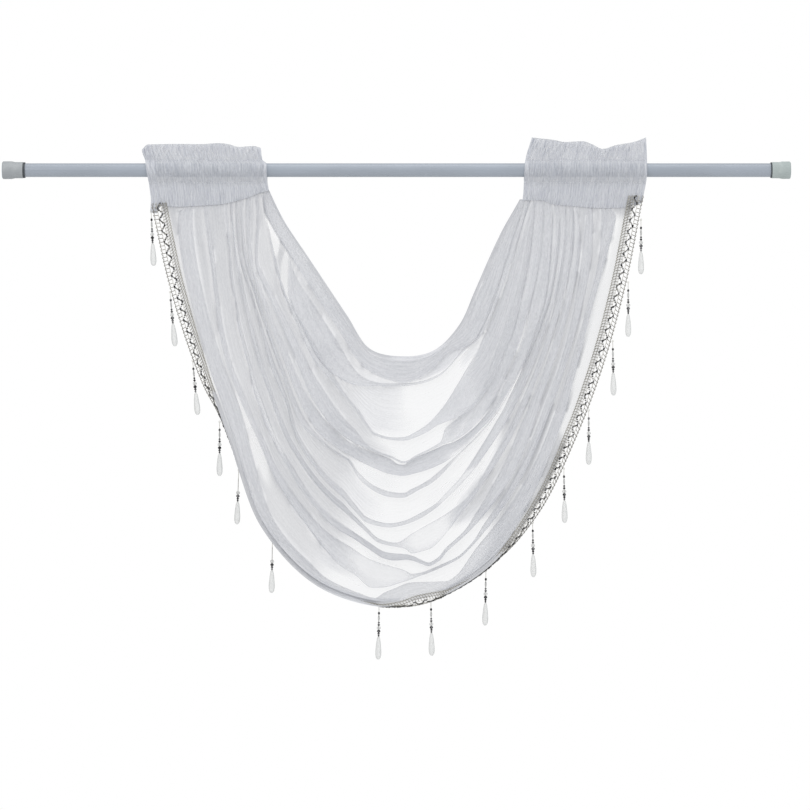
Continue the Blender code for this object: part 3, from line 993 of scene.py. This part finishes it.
@dataclass(frozen=True)
class Swag:
    """The one sheet of voile between the headings, in its laps and fine gathers."""

    hang: Hang
    folds: tuple[Fold, ...] = FOLDS
    patches: tuple[Patch, ...] = PATCHES
    rows: int = 300
    front_columns: int = 15
    back_columns: int = 12
    # The layers rise at both ends, by the headings: denser gathers, and painted shade under the headings as well.
    arm_layers: Knots = (
        (0, 10.0), (0.03, 7.6), (0.10, 5.8), (0.20, 5.3), (0.30, 4.9), (0.36, 4.3), (0.44, 3.9), (0.56, 4.6),
        (0.62, 6.0), (0.70, 7.0), (0.80, 7.6), (0.95, 7.6), (1, 10.0),
    )
    arm_laps: Knots = (
        (0, 0.0), (0.20, 0.1), (0.32, 0.4), (0.42, 0.7), (0.58, 0.6), (0.68, 0.12), (0.8, 0.0), (1, 0.0),
    )
    arm_depth: float = 0.5
    left_ends: Knots = (
        (0, 0.47), (0.08, 0.45), (0.11, 0.405), (0.25, 0.41), (0.33, 0.44), (0.40, 0.47), (0.46, 0.42),
        (0.60, 0.425), (0.70, 0.43), (0.80, 0.43), (0.90, 0.40), (1, 0.42),
    )
    right_starts: Knots = (
        (0, 0.61), (0.10, 0.665), (0.17, 0.70), (0.21, 0.655), (0.35, 0.655), (0.42, 0.65), (0.475, 0.70),
        (0.51, 0.73), (0.56, 0.68), (0.62, 0.645), (0.66, 0.59), (0.78, 0.60), (0.83, 0.62), (0.90, 0.615),
        (1, 0.57),
    )
    heading_depth: float = 1.4
    first_depth: float = 1.5
    least_step: float = 0.004
    least_lap: float = 0.003
    rim_weight: float = 10.0
    flat: tuple[float, float] = (0.46, 1.2)
    flat_area: float = 0.42

    def columns(self, runs: Array) -> tuple[Array, Array, Array, Array]:
        """Lays the cloth's columns into the laps.

        Args:
            runs: shares of the run, one a row.

        Returns:
            Each point's share of the width, its distance back, its pleats and how far it is from a crease.
        """
        full = soft_step(0, 0.24, np.minimum(runs, 1 - runs)) * (1 - (1 - self.arm_depth) * self.arms(runs))
        single = np.ones_like(runs)
        start, back = np.zeros_like(runs), np.full_like(runs, self.first_depth)
        kept: tuple[list[Array], ...] = ([], [], [], [])
        for fold, crease, turn in self.laps(runs):
            kept = self.layer(kept, (start, crease), (back, back * 0), single, self.front_columns)
            back = self.heading_depth + (fold.depth - self.heading_depth) * full
            stack = through(fold.stack, runs)
            kept = self.layer(kept, (crease, turn), (back * 0, back), stack, self.back_columns)
            start = turn
        last_share = self.hang.last_share(runs)
        shares, depths, stacks, free = self.layer(
            kept, (start, last_share), (back, back * 0), single, self.front_columns
        )
        for index in range(1, self.front_columns):
            depths[-index] = back * (last_share - shares[-index]) / (last_share - start)
        last = (last_share, np.zeros_like(runs), np.ones_like(runs), np.zeros_like(runs))
        lists = [kept + [end] for kept, end in zip((shares, depths, stacks, free), last)]
        return tuple(np.stack(kept, 1) for kept in lists)

    def laps(self, runs: Array) -> list[tuple[Fold, Array, Array]]:
        """Each fold with its crease and its turn, kept in order across."""
        crease = turn = np.zeros_like(runs)
        found = []
        for fold in self.folds:
            crease = np.maximum(through(fold.crease, runs), crease + self.least_step)
            turn = np.clip(through(fold.turn, runs), turn + self.least_step, crease - self.least_lap)
            found.append((fold, crease, turn))
        return found

    def layer(
        self,
        kept: tuple[list[Array], ...],
        shares: tuple[Array, Array],
        backs: tuple[Array, Array],
        stack: Array,
        count: int,
    ) -> tuple[list[Array], ...]:
        """Adds the columns of one layer, from one fold of the cloth to the next.

        Args:
            kept: the columns so far.
            shares: where the layer starts and ends across.
            backs: how far back it starts and ends.
            stack: how many small pleats lie in it.
            count: how many columns it has.

        Returns:
            The columns with this layer's.
        """
        for index in range(count):
            t = index / count
            place = t - 0.92 * math.sin(2 * math.pi * t) / (2 * math.pi)
            pleats = math.sin(math.pi * t) ** 0.5
            kept[0].append(shares[0] + (shares[1] - shares[0]) * place)
            kept[1].append(backs[0] + (backs[1] - backs[0]) * t)
            kept[2].append(1 + (stack - 1) * pleats)
            kept[3].append(np.full_like(stack, pleats))
        return kept

    def arms(self, runs: Array) -> Array:
        """How far the cloth is gathered along the run: 1 on the arms, 0 in the middle."""
        return 1 - soft_step(0.28, 0.44, runs) * (1 - soft_step(0.58, 0.70, runs))

    def gathers(self, runs: Array, flat: Array) -> Array:
        """The fine gathers that run down from the headings and open towards the middle."""
        full = 2 * np.pi
        wave = 0.55 * np.sin(full * (29 * flat + 1.1 * np.sin(5.2 * runs + 7 * flat)))
        wave += 0.40 * np.sin(full * (47 * flat - 1.5 * np.sin(4.1 * runs + 1 + 11 * flat)))
        wave += 0.25 * np.sin(full * (71 * flat + 2.0 * np.sin(7.0 * runs + 5 * flat)))
        swell = 0.75 + 0.35 * np.sin(9.0 * flat + 11 * runs) * np.sin(23 * flat - 6 * runs)
        return wave * swell

    def heap(self, runs: Array, shares: Array) -> Array:
        """How many layers a look from the front meets at each point."""
        count = np.ones_like(shares)
        for _, crease, turn in self.laps(runs[:, 0]):
            count += 2.0 * ((shares > turn[:, None] - 1e-6) & (shares < crease[:, None] + 1e-6))
        return count

    def gathered(self, runs: Array, shares: Array) -> Array:
        """Where the small pleats of the two arms lie close: 1 there and 0 between them."""
        left = 1 - soft_step(-0.025, 0.025, runs - through(self.left_ends, shares))
        right = soft_step(-0.02, 0.02, runs - through(self.right_starts, shares))
        return np.maximum(left, right)

    def threads(self, runs: Array, shares: Array, stacks: Array, turned: Array) -> Array:
        """How much thread each point of the sheet carries.

        Args:
            runs: each point's share of the run.
            shares: each point's share of the width.
            stacks: the small pleats that lie at it.
            turned: how far it turns away.

        Returns:
            The weights.
        """
        count = self.heap(runs, shares)
        arm = self.gathered(runs, shares)
        laid = through(self.arm_layers, runs) * count ** (through(self.arm_laps, runs) - 1)
        weight = stacks + (laid - stacks) * arm
        for patch in self.patches:
            start, end = patch.line[0][0], patch.line[-1][0]
            middle = through(tuple((k[0], k[1]) for k in patch.line), runs)
            half = through(tuple((k[0], k[2]) for k in patch.line), runs)
            near = 1 - soft_step(1 - patch.blur, 1 + patch.blur, np.abs(shares - middle) / half)
            fade = patch.fade
            near *= soft_step(start - fade, start + fade, runs) * (1 - soft_step(end - fade, end + fade, runs))
            weight = weight + (patch.layers * count**-0.6 - weight) * near
        return weight * turned ** (0.8 - 0.45 * arm) * (1 + self.lines(runs, shares) * arm)

    def lines(self, runs: Array, shares: Array) -> Array:
        """The thin lines on the arms: more thread at each crease, and less just beyond it."""
        inner, edge, _, _ = self.hang.edges(runs[:, 0])
        width = np.linalg.norm(edge - inner, axis=-1)[:, None]
        total = np.zeros_like(shares)
        for number, (_, crease, _) in enumerate(self.laps(runs[:, 0])):
            past = (shares - crease[:, None]) * width
            wane = 0.75 + 0.5 * np.sin(2.1 * number + 19 * runs)
            more = 0.8 * np.exp(-(((past + 0.4) / 0.9) ** 2))
            less = 0.42 * np.exp(-(((past - 2.6) / 1.7) ** 2))
            total += (more - less) * wane
        return np.clip(total, -0.45, 1.0)

    def build(self) -> bpy.types.Object:
        """Builds and dresses the sheet."""
        line = np.linspace(0, 1, self.rows)
        shares, depths, stacks, free = self.columns(line)
        runs = np.repeat(line[:, None], shares.shape[1], 1)
        x, y, z = self.hang.cloth(runs, shares)
        y = y + depths
        middle = self.rows // 2
        widths = np.hypot(np.diff(x[middle]), np.diff(z[middle]))
        widths = np.hypot(widths, np.diff(y[middle]))
        flat = np.concatenate(([0.0], np.cumsum(widths)))
        arm = self.arms(runs)
        ends = 0.35 + 0.65 * soft_step(0.0, 0.05, np.minimum(runs, 1 - runs))
        y = y + (0.20 + 0.75 * arm) * ends * free * self.gathers(runs, flat / flat[-1])
        across = np.hypot(np.gradient(x, axis=1), np.gradient(z, axis=1))
        turned = slant(across, np.gradient(y, axis=1), 3.6)
        hem = 1 + 1.5 * (1 - soft_step(0.012, 0.02, shares)) * (np.arange(shares.shape[1]) < self.front_columns)
        rim = soft_step(-9.5, -6.5, (shares - shares[:, -1:]) * 290) * self.hang.tucked(runs)
        weight = self.threads(runs, shares, stacks, turned) * hem + self.rim_weight * rim
        down = np.hypot(np.diff(x[:, -1]), np.diff(z[:, -1]))
        fall = np.concatenate(([0.0], np.cumsum(down)))
        lengths, widths = np.repeat(fall[:, None], len(flat), 1), np.repeat(flat[None, :], len(line), 0)
        place = np.stack([lengths, widths], -1)
        # Painted shade: single layers on the gathered arms, where the voile's colour is made darker for the shade of
        # the small pleats.
        single = 1 - np.clip((self.heap(runs, shares) - 1) / 2, 0, 1)
        weights = {"weight": weight, "painted_pleat_shade": single * self.gathered(runs, shares)}
        made = cloth_piece("swag_voile", np.stack([x, y, z], -1), place, weights, VOILE.make())
        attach(made, "root")
        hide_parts("swag")
        return made


class Side(Enum):
    """An end of the swag."""

    LEFT = "left"
    RIGHT = "right"


class Zone(Enum):
    """A stretch of a heading's face, from its seam up."""

    BAND = 8
    POCKET = 16
    FRILL = 14


@dataclass(frozen=True)
class Heading:
    """A gathered rod pocket: a strip folded at the top of its frill and stitched above and below the rod."""

    side: Side
    left_edge: Knots
    right_edge: Knots
    top: Knots
    seam: Knots
    seed: float
    hems: tuple[float, float]
    stitch_above: float = 11.3
    stitch_below: float = -14.5
    pocket: Knots = ((0, 0.9), (0.16, 5.6), (0.32, 8.9), (0.52, 10.1), (0.72, 9.0), (0.88, 5.2), (1, 0.9))
    frill: Knots = ((0, 0.9), (0.2, 1.7), (0.45, 2.3), (0.75, 2.4), (0.93, 1.5), (1, 0.0))
    gathers: int = 28
    columns: int = 280
    rod_clear: float = 8.7
    row_step: float = 2.3
    gathered_width: float = 420.0
    back_share: float = 0.6
    back_phase: float = 0.5
    stitch_count: int = 43
    flat: tuple[float, float] = (0.17, 0.142)

    def edges(self, height: Array) -> tuple[Array, Array]:
        """The left and right edges at a height."""
        return through(self.left_edge, height), through(self.right_edge, height)

    def wave(self, shares: Array, phase: float, height: Array) -> Array:
        """The gathers across the heading, from about -1 to 1."""
        turn = 2 * np.pi
        drift = 0.35 * np.sin(2.1 * height / 10 + 9 * shares + phase)
        wave = 0.7 * np.sin(turn * (self.gathers * shares + drift) + phase + self.seed)
        wave += 0.45 * np.sin(turn * (self.gathers * 1.63 * shares - 0.6 * drift) + 2.3 * phase + self.seed)
        swell = 0.8 + 0.3 * np.sin(17 * shares + self.seed) * np.sin(29 * shares + 2 * phase)
        return wave * swell

    def rows(self) -> list[tuple[Zone, float]]:
        """The zones of one face from the seam up, each with shares of its height."""
        rows = [(zone, t) for zone in Zone for t in np.linspace(0, 1, zone.value + 1)[:-1]]
        return rows + [(Zone.FRILL, 1.0)]

    def face(self, zone: Zone, t: float, shares: Array) -> tuple[Array, Array, Array]:
        """One row of a face.

        Args:
            zone: the row's zone.
            t: its share of the zone's height.
            shares: shares of the width.

        Returns:
            Its height, its distance from the middle, and the reach of its gathers.
        """
        seam = through(self.seam, shares)
        top = through(self.top, shares)
        if zone is Zone.BAND:
            height = seam + (self.stitch_below - seam) * t
            offset = np.full_like(shares, 1.0 + 1.2 * math.sin(math.pi * t))
            return height, offset, np.full_like(shares, 1.1 - 0.5 * t)
        if zone is Zone.POCKET:
            height = self.stitch_below + (self.stitch_above - self.stitch_below) * t
            offset = through(self.pocket, np.full_like(shares, t))
            reach = 0.55 + 0.35 * math.sin(math.pi * t)
            return np.full_like(shares, height), offset, np.full_like(shares, reach)
        height = self.stitch_above + (top - self.stitch_above) * t
        offset = through(self.frill, np.full_like(shares, t))
        return height, offset, np.full_like(shares, 0.5 + 1.1 * math.sin(math.pi * t * 0.7))

    def build(self) -> bpy.types.Object:
        """Builds the folded strip, with more thread along its stitch lines."""
        shares = np.linspace(0, 1, self.columns)
        lines = []
        front = [(zone, t, -1.0) for zone, t in self.rows()]
        back = [(zone, t, 1.0) for zone, t in reversed(self.rows()[:-1])]
        for zone, t, way in front + back:
            height, offset, reach = self.face(zone, t, shares)
            left, right = self.edges(height)
            top = zone is Zone.FRILL and t > 0.9
            wave = self.wave(shares, 0.0 if top or way < 0 else self.back_phase, height)
            ends = soft_step(0, 0.02, np.minimum(shares, 1 - shares))
            x = left + (right - left) * shares + 0.4 * wave * ends
            y = way * offset + reach * wave * (self.back_share if way > 0 else 1.0)
            if zone is Zone.POCKET:
                y = way * np.maximum(way * y, np.sqrt(np.maximum(self.rod_clear**2 - height**2, 0)))
            lines.append(np.stack([x, y, height], -1))
        grid = np.stack(lines)
        across = np.hypot(np.gradient(grid[..., 0], axis=1), np.gradient(grid[..., 2], axis=1))
        weight = self.density(grid) * slant(across, np.gradient(grid[..., 1], axis=1), 2.4)
        along = np.repeat(np.cumsum(np.full(len(lines), self.row_step))[:, None], self.columns, 1)
        widths = np.repeat((shares * self.gathered_width)[None, :], len(lines), 0)
        node = f"heading_{self.side.value}"
        made = cloth_piece(f"{node}_voile", grid, np.stack([along, widths], -1), {"weight": weight}, GATHERED.make())
        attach(made, "root")
        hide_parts(node)
        return made

    def density(self, grid: Array) -> Array:
        """How much thread lies in the gathers: most at the stitches and in the turned side hems."""
        height = grid[..., 2]
        stitch = np.exp(-(((height - self.stitch_above) / 1.1) ** 2))
        stitch += np.exp(-(((height - self.stitch_below) / 1.1) ** 2))
        shares = np.linspace(0, 1, self.columns)[None, :]
        hem = 1 - soft_step(self.hems[0] - 0.006, self.hems[0] + 0.006, shares)
        hem = hem + soft_step(1 - self.hems[1] - 0.006, 1 - self.hems[1] + 0.006, shares)
        band = 1 - soft_step(self.stitch_below - 6, self.stitch_below, height)
        cloud = np.sin(31 * shares + 0.09 * height + self.seed)
        cloud = cloud * np.sin(13 * shares - 0.2 * height + 2 * self.seed)
        pocket = soft_step(self.stitch_below - 2, self.stitch_below + 2, height)
        pocket = pocket * (1 - soft_step(self.stitch_above - 2, self.stitch_above + 2, height))
        return 3.0 + 1.4 * stitch + 2.4 * hem + 3.0 * band + 1.0 * pocket + 0.6 * cloud

    def stitches(self) -> bpy.types.Object:
        """Builds the two rows of running stitches on both faces."""
        shape = Shape()
        for height in (self.stitch_above, self.stitch_below):
            for way in (-1.0, 1.0):
                for index in range(self.stitch_count):
                    ends = np.array([(index + share) / self.stitch_count for share in (0.2, 0.5, 0.8)])
                    left, right = self.edges(np.full(3, height))
                    wave = self.wave(ends, 0.0 if way < 0 else self.back_phase, np.full(3, height))
                    y = way * 0.9 + 0.5 * wave * (self.back_share if way > 0 else 1.0) + way * 0.25
                    x = left + (right - left) * ends
                    path = [Vector((float(a), float(b), height)) for a, b in zip(x, y)]
                    shape.tube(path, 0.28, 4)
        made = shape.piece(f"heading_{self.side.value}_stitches", [SEWING.make()])
        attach(made, "root")
        return made


HEADINGS = (
    Heading(
        Side.LEFT,
        ((-52, 171), (-35, 172.3), (-23, 171), (-4, 168), (12, 165.3), (23, 161.8), (31, 163)),
        ((-24, 309), (-9, 307), (7, 306.8), (12, 301.5), (31, 299)),
        (
            (0, 24), (0.04, 29.8), (0.29, 30.4), (0.50, 30.2), (0.64, 31.4), (0.72, 30.4), (0.82, 27), (0.94, 28),
            (1, 26),
        ),
        (
            (0, -49), (0.06, -50), (0.085, -41), (0.2, -42.5), (0.4, -41.5), (0.6, -39.5), (0.8, -33), (0.94, -26),
            (1, -24),
        ),
        0.4,
        (0.075, 0.03),
    ),
    Heading(
        Side.RIGHT,
        ((-42, 601.5), (-29, 604), (8, 606), (38, 614)),
        ((-38, 742), (-29, 743.6), (-9, 747), (12, 747.5), (38, 746.5)),
        (
            (0, 38), (0.20, 35), (0.30, 32.7), (0.45, 33.6), (0.53, 30.4), (0.63, 24.8), (0.745, 29.2), (0.89, 32.7),
            (1, 38),
        ),
        ((0, -35), (0.15, -35), (0.28, -40), (0.45, -42), (0.65, -44), (0.85, -43.5), (1, -38)),
        2.1,
        (0.03, 0.02),
    ),
)


@dataclass
class Braid:
    """The lace strip along the swag's outer edge: a net, a zigzag of seed beads and a ladder of loops.

    Distances across it run from where the solid's inner edge lies, 0, to the rim, 15.
    """

    hang: Hang
    inner: float = -2.7
    net_middle: float = 0.8
    net_edge: float = 4.3
    net_pitch: float = 3.4
    zigzag_middle: float = 6.2
    zigzag_reach: float = 2.6
    zigzag_pitch: float = 13.2
    beads_a_zigzag: int = 8
    bead: float = 2.35
    ladder_start: float = 9.1
    ladder_end: float = 14.1
    ladder_pitch: float = 4.4
    laps: tuple[float, float] = (0.0, 11.0)

    def __post_init__(self) -> None:
        """Measures the braid's length."""
        self.runs = np.linspace(0, 1, 1600)
        self.lines = self.hang.strip(self.runs)
        middle = self.place(self.runs, np.full_like(self.runs, self.zigzag_middle))
        steps = np.linalg.norm(np.diff(middle, axis=0), axis=1)
        self.distance = np.concatenate(([0.0], np.cumsum(steps)))
        self.start = -self.laps[0]
        self.end = float(self.distance[-1]) + self.laps[1]

    def place(self, runs: Array, across: Array) -> Array:
        """Points of the strip, by share of the run and distance across."""
        spot, flat, flap = (
            np.stack([np.interp(runs, self.runs, line[:, axis]) for axis in range(3)], -1)
            for line in self.lines[:3]
        )
        past = (across - np.interp(runs, self.runs, self.lines[3]))[:, None]
        return spot + flat * np.minimum(past, 0) + flap * np.maximum(past, 0)

    def points(self, lengths: Sequence[float], across: Sequence[float], raised: float = 0.0) -> list[Vector]:
        """Points of the braid.

        Args:
            lengths: distances along the braid, which may run past its seams onto the headings.
            across: distances across it.
            raised: how far they stand off its middle.

        Returns:
            The points.
        """
        at = np.array(lengths, float)
        run = np.interp(at, self.distance, self.runs)
        wide = np.array(across, float)
        spot = self.place(run, wide)
        ahead = self.place(np.clip(run + 0.002, 0, 1), wide) - self.place(np.clip(run - 0.002, 0, 1), wide)
        ahead /= np.linalg.norm(ahead, axis=-1, keepdims=True)
        outward = self.place(run, wide + 0.05) - self.place(run, wide - 0.05)
        normal = np.cross(ahead, outward)
        normal /= np.linalg.norm(normal, axis=-1, keepdims=True)
        past = at - np.clip(at, 0, self.distance[-1])
        spot = spot - normal * raised + ahead * past[:, None]
        spot[:, 1] -= 2.2 * soft_step(0, 4, np.abs(past))
        return [Vector(p) for p in spot]

    def build(self) -> bpy.types.Object:
        """Builds the cords and the beads as one piece."""
        shape = Shape()
        self.cords(shape)
        self.net(shape)
        self.ladder(shape)
        self.zigzag(shape)
        made = shape.piece("braid_lace", [COTTON.make(), SEED.make(), CORD.make(), SMOKE.make()])
        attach(made, "root")
        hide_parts("braid")
        return made

    def cords(self, shape: Shape) -> None:
        """The long cords: the net's three, one beyond the beads and the scalloped outer one."""
        for across, reach, pitch, radius, raised, coat in (
            (self.inner, 0.55, self.net_pitch, 0.46, 0.1, 2),
            (self.net_middle, 0.6, self.net_pitch, 0.42, 0.1, 2),
            (self.net_edge, 0.3, self.net_pitch, 0.34, 0.0, 0),
            (self.ladder_start, 0.3, self.ladder_pitch, 0.42, 0.0, 0),
            (self.ladder_end, 0.65, self.ladder_pitch, 0.50, 0.0, 2),
        ):
            lengths = np.arange(self.start, self.end, 1.1)
            wide = across + reach * np.sin(2 * np.pi * lengths / pitch)
            shape.tube(self.points(lengths, wide, raised), radius, 5, coat)

    def net(self, shape: Shape) -> None:
        """The net of the inner half: two columns of rungs, one half a step below the other."""
        for index in range(int((self.end - self.start) / self.net_pitch)):
            at = self.start + (index + 0.5) * self.net_pitch
            half = at + self.net_pitch / 2
            for spot, low, high, coat in (
                (at, self.inner, self.net_middle, 2),
                (half, self.net_middle, self.net_edge, 2),
                (half, self.inner, -1, 0),
            ):
                lengths = [spot - 0.7, spot - 0.2, spot + 0.3, spot + 0.7]
                wide = [low, low + (high - low) * 0.35, low + (high - low) * 0.7, high]
                shape.tube(self.points(lengths, wide), 0.38, 4, coat)

    def ladder(self, shape: Shape) -> None:
        """The open loops of the outer half."""
        for index in range(int((self.end - self.start) / self.ladder_pitch)):
            at = self.start + (index + 0.25) * self.ladder_pitch
            lengths = [at + 0.7, at + 0.2, at, at - 0.2, at - 0.5]
            wide = [self.ladder_start, 10.3, 11.6, 12.9, self.ladder_end]
            shape.tube(self.points(lengths, wide), 0.46, 5, 2)

    def zigzag(self, shape: Shape) -> None:
        """The seed beads."""
        pitch = self.zigzag_pitch / self.beads_a_zigzag
        for index in range(int((self.end - self.start) / pitch)):
            at = self.start + (index + 0.5) * pitch
            phase = at / self.zigzag_pitch
            swing = 4 * abs(phase - math.floor(phase + 0.5)) - 1
            across = self.zigzag_middle + self.zigzag_reach * swing
            centre, ahead = self.points([at, at + 0.5], [across, across], 1.0)
            width = self.bead * (1 + 0.25 * math.sin(2.4 * index) * math.sin(0.9 * index + 1))
            dark = abs(swing) > 0.4 or index % 7 == 3
            shape.bead(centre, (ahead - centre).normalized(), width, width * 0.8, 6, 1 if dark else 3)


class Strung(Enum):
    """What is strung on a drop."""

    SEED = 1
    RICE = 2
    CRYSTAL = 3


@dataclass(frozen=True)
class Drop:
    """A thread with its beads and a long cut crystal."""

    number: int
    run: float
    lean: float
    full: bool = True
    beads: tuple[tuple[Strung, float, float, float], ...] = (
        (Strung.SEED, 8.6, 2.7, 3.4),
        (Strung.RICE, 14.2, 2.3, 7.4),
        (Strung.SEED, 19.4, 2.5, 2.3),
        (Strung.SEED, 22.0, 3.0, 2.6),
        (Strung.CRYSTAL, 25.6, 4.8, 4.2),
        (Strung.SEED, 29.4, 4.2, 3.6),
        (Strung.SEED, 32.3, 3.0, 2.5),
        (Strung.SEED, 34.6, 2.4, 2.1),
    )
    crystal: Knots = (
        (0.9, 35.6), (1.9, 38), (2.7, 43), (3.2, 48), (3.6, 53), (3.5, 57), (2.8, 60.2), (1.2, 62.2),
    )

    def build(self, hang: Hang) -> bpy.types.Object:
        """Builds the drop where its solid hangs, from the braid's own rim."""
        node = f"drop_{self.number:02d}"
        low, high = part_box(node)
        low, high = low / MM, high / MM
        spot, _, flap, at = (line[0] for line in hang.strip(np.array([self.run])))
        rim = spot + flap * (hang.braid_width - at)
        top = Vector(((low.x + high.x) / 2 - self.lean / 2, float(rim[1]), high.z))
        bottom = Vector(((low.x + high.x) / 2 + self.lean / 2, top.y, low.z))
        down = (bottom - top).normalized()
        shape = Shape()
        shape.tube([top + down * k for k in (0, 3, 6, 9)], 0.34, 5, 0)
        shape.tube([top + down * k for k in (9, 18, 27, 36.5)], 0.40, 5, 4)
        turns = np.linspace(0, 5.8, 10)
        loop = [Vector((0.9 * math.sin(a), 0.4 * math.sin(a), 0.9 + 0.9 * math.cos(a))) for a in turns]
        shape.tube([top + point for point in loop], 0.32, 4, 0)
        for kind, at, width, long in self.beads[0 if self.full else 4 :]:
            sides = 7 if kind is Strung.SEED else 10
            shape.bead(top + down * at, down, width, long, sides, kind.value)
        shape.turned(top, down, self.crystal, 6, Strung.CRYSTAL.value, True)
        finishes = [finish.make() for finish in (COTTON, SEED, RICE, CRYSTAL, CORD)]
        made = shape.piece(f"{node}_beads", finishes)
        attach(made, "root")
        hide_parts(node)
        return made


HANGINGS = (
    (0.013, 3), (0.091, 6), (0.160, 6), (0.225, 0), (0.275, -2), (0.350, -1), (0.475, -1), (0.528, 1),
    (0.592, -1), (0.658, 1), (0.720, 1), (0.783, 0), (0.856, 1), (0.916, 0), (0.977, 0),
)
SHORT_DROPS = (5, 6)


@dataclass(frozen=True)
class Rod:
    """The tension rod's own solids, which keep their shapes and get their finishes."""

    finishes: tuple[tuple[str, Finish], ...] = (
        ("rod_tube", PAINT),
        ("end_cap_left", CAP_LEFT),
        ("end_cap_right", CAP_RIGHT),
        ("collar_left", COLLAR),
        ("collar_right", COLLAR),
    )

    def dress(self, nodes: dict[str, bpy.types.Object]) -> None:
        """Gives each solid its material."""
        for name, finish in self.finishes:
            node = nodes[name]
            material = finish.make()
            if node.material_slots:
                for slot in node.material_slots:
                    slot.material = material
            else:
                node.data.materials.append(material)
            LOG.info("dressed %s", name)


@dataclass(frozen=True)
class Studio:
    """The camera, the soft light and the pale floor."""

    aim: tuple[float, float, float] = (466.9, 0.0, -272.4)
    frame: float = 939.6
    lens: float = 180.0
    sensor: float = 36.0
    floor_drop: float = -1060.0
    floor_reach: float = 2650.0
    sky: float = 0.62
    backdrop: float = 1.0

    def camera(self) -> None:
        """Sets the camera straight in front."""
        data = bpy.data.cameras.new("front_camera")
        data.lens = self.lens
        data.sensor_width = self.sensor
        data.clip_start, data.clip_end = 0.1, 60.0
        camera = bpy.data.objects.new("front_camera", data)
        away = self.frame * self.lens / self.sensor
        camera.location = Vector((self.aim[0], -away, self.aim[2])) * MM
        camera.rotation_euler = (math.radians(90), 0, 0)
        bpy.context.scene.collection.objects.link(camera)
        bpy.context.scene.camera = camera

    def light(self) -> None:
        """Sets a soft sky, a white view behind everything, and three large lamps."""
        world = bpy.data.worlds.new("studio_sky")
        bpy.context.scene.world = world
        g = Graph(world)
        sky = g.node("ShaderNodeBackground", {}, {"Color": (1, 1, 1, 1), "Strength": self.sky})
        view = g.node("ShaderNodeBackground", {}, {"Color": (1, 1, 1, 1), "Strength": self.backdrop})
        seen = g.node("ShaderNodeLightPath", {}, {}, "Is Camera Ray")
        both = g.node("ShaderNodeMixShader", {}, {0: seen, 1: sky, 2: view})
        g.node("ShaderNodeOutputWorld", {}, {"Surface": both})
        for name, spot, size, power in (
            ("key_lamp", (-900, -2600, 1500), 1500, 22.0),
            ("fill_lamp", (2300, -2300, 200), 1800, 8.0),
            ("top_lamp", (460, -250, 1500), 1300, 8.0),
        ):
            lamp = bpy.data.lights.new(name, "AREA")
            lamp.shape = "SQUARE"
            lamp.size = size * MM
            lamp.energy = power
            made = bpy.data.objects.new(name, lamp)
            made.location = Vector(spot) * MM
            towards = Vector(self.aim) - Vector(spot)
            made.rotation_euler = towards.to_track_quat("-Z", "Y").to_euler()
            bpy.context.scene.collection.objects.link(made)

    def floor(self) -> None:
        """Lays a round pale floor well below the object."""
        shape = Shape()
        count = 96
        ring = []
        for index in range(count):
            angle = 2 * math.pi * index / count
            x = self.aim[0] + self.floor_reach * math.cos(angle)
            ring.append(Vector((x, self.floor_reach * math.sin(angle), self.floor_drop)))
        shape.points = ring
        shape.face(range(count), 0, True)
        plain = Moulded("floor_pale", (0.93, 0.93, 0.93), (0.90, 0.90, 0.90), 0.8)
        shape.piece("floor", [plain.make()])


def main() -> None:
    """Builds the scene in order."""
    logging.basicConfig(level=logging.INFO, format="%(message)s")
    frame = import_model()
    scene = bpy.context.scene
    scene.view_settings.view_transform = "Standard"
    scene.cycles.transparent_max_bounces = 64
    studio = Studio()
    studio.camera()
    studio.light()
    studio.floor()
    Rod().dress(frame["nodes"])
    hang = Hang()
    for maker in HEADINGS:
        maker.build()
        maker.stitches()
        LOG.info("built the %s heading", maker.side.value)
    swag_maker = Swag(hang)
    swag = swag_maker.build()
    LOG.info("built the swag with %d faces", len(swag.data.polygons))
    braid = Braid(hang).build()
    LOG.info("built the braid with %d faces", len(braid.data.polygons))
    for number, (run, lean) in enumerate(HANGINGS, 1):
        Drop(number, run, lean, number not in SHORT_DROPS).build(hang)
    LOG.info("built %d drops", len(HANGINGS))


if __name__ == "__main__":
    main()
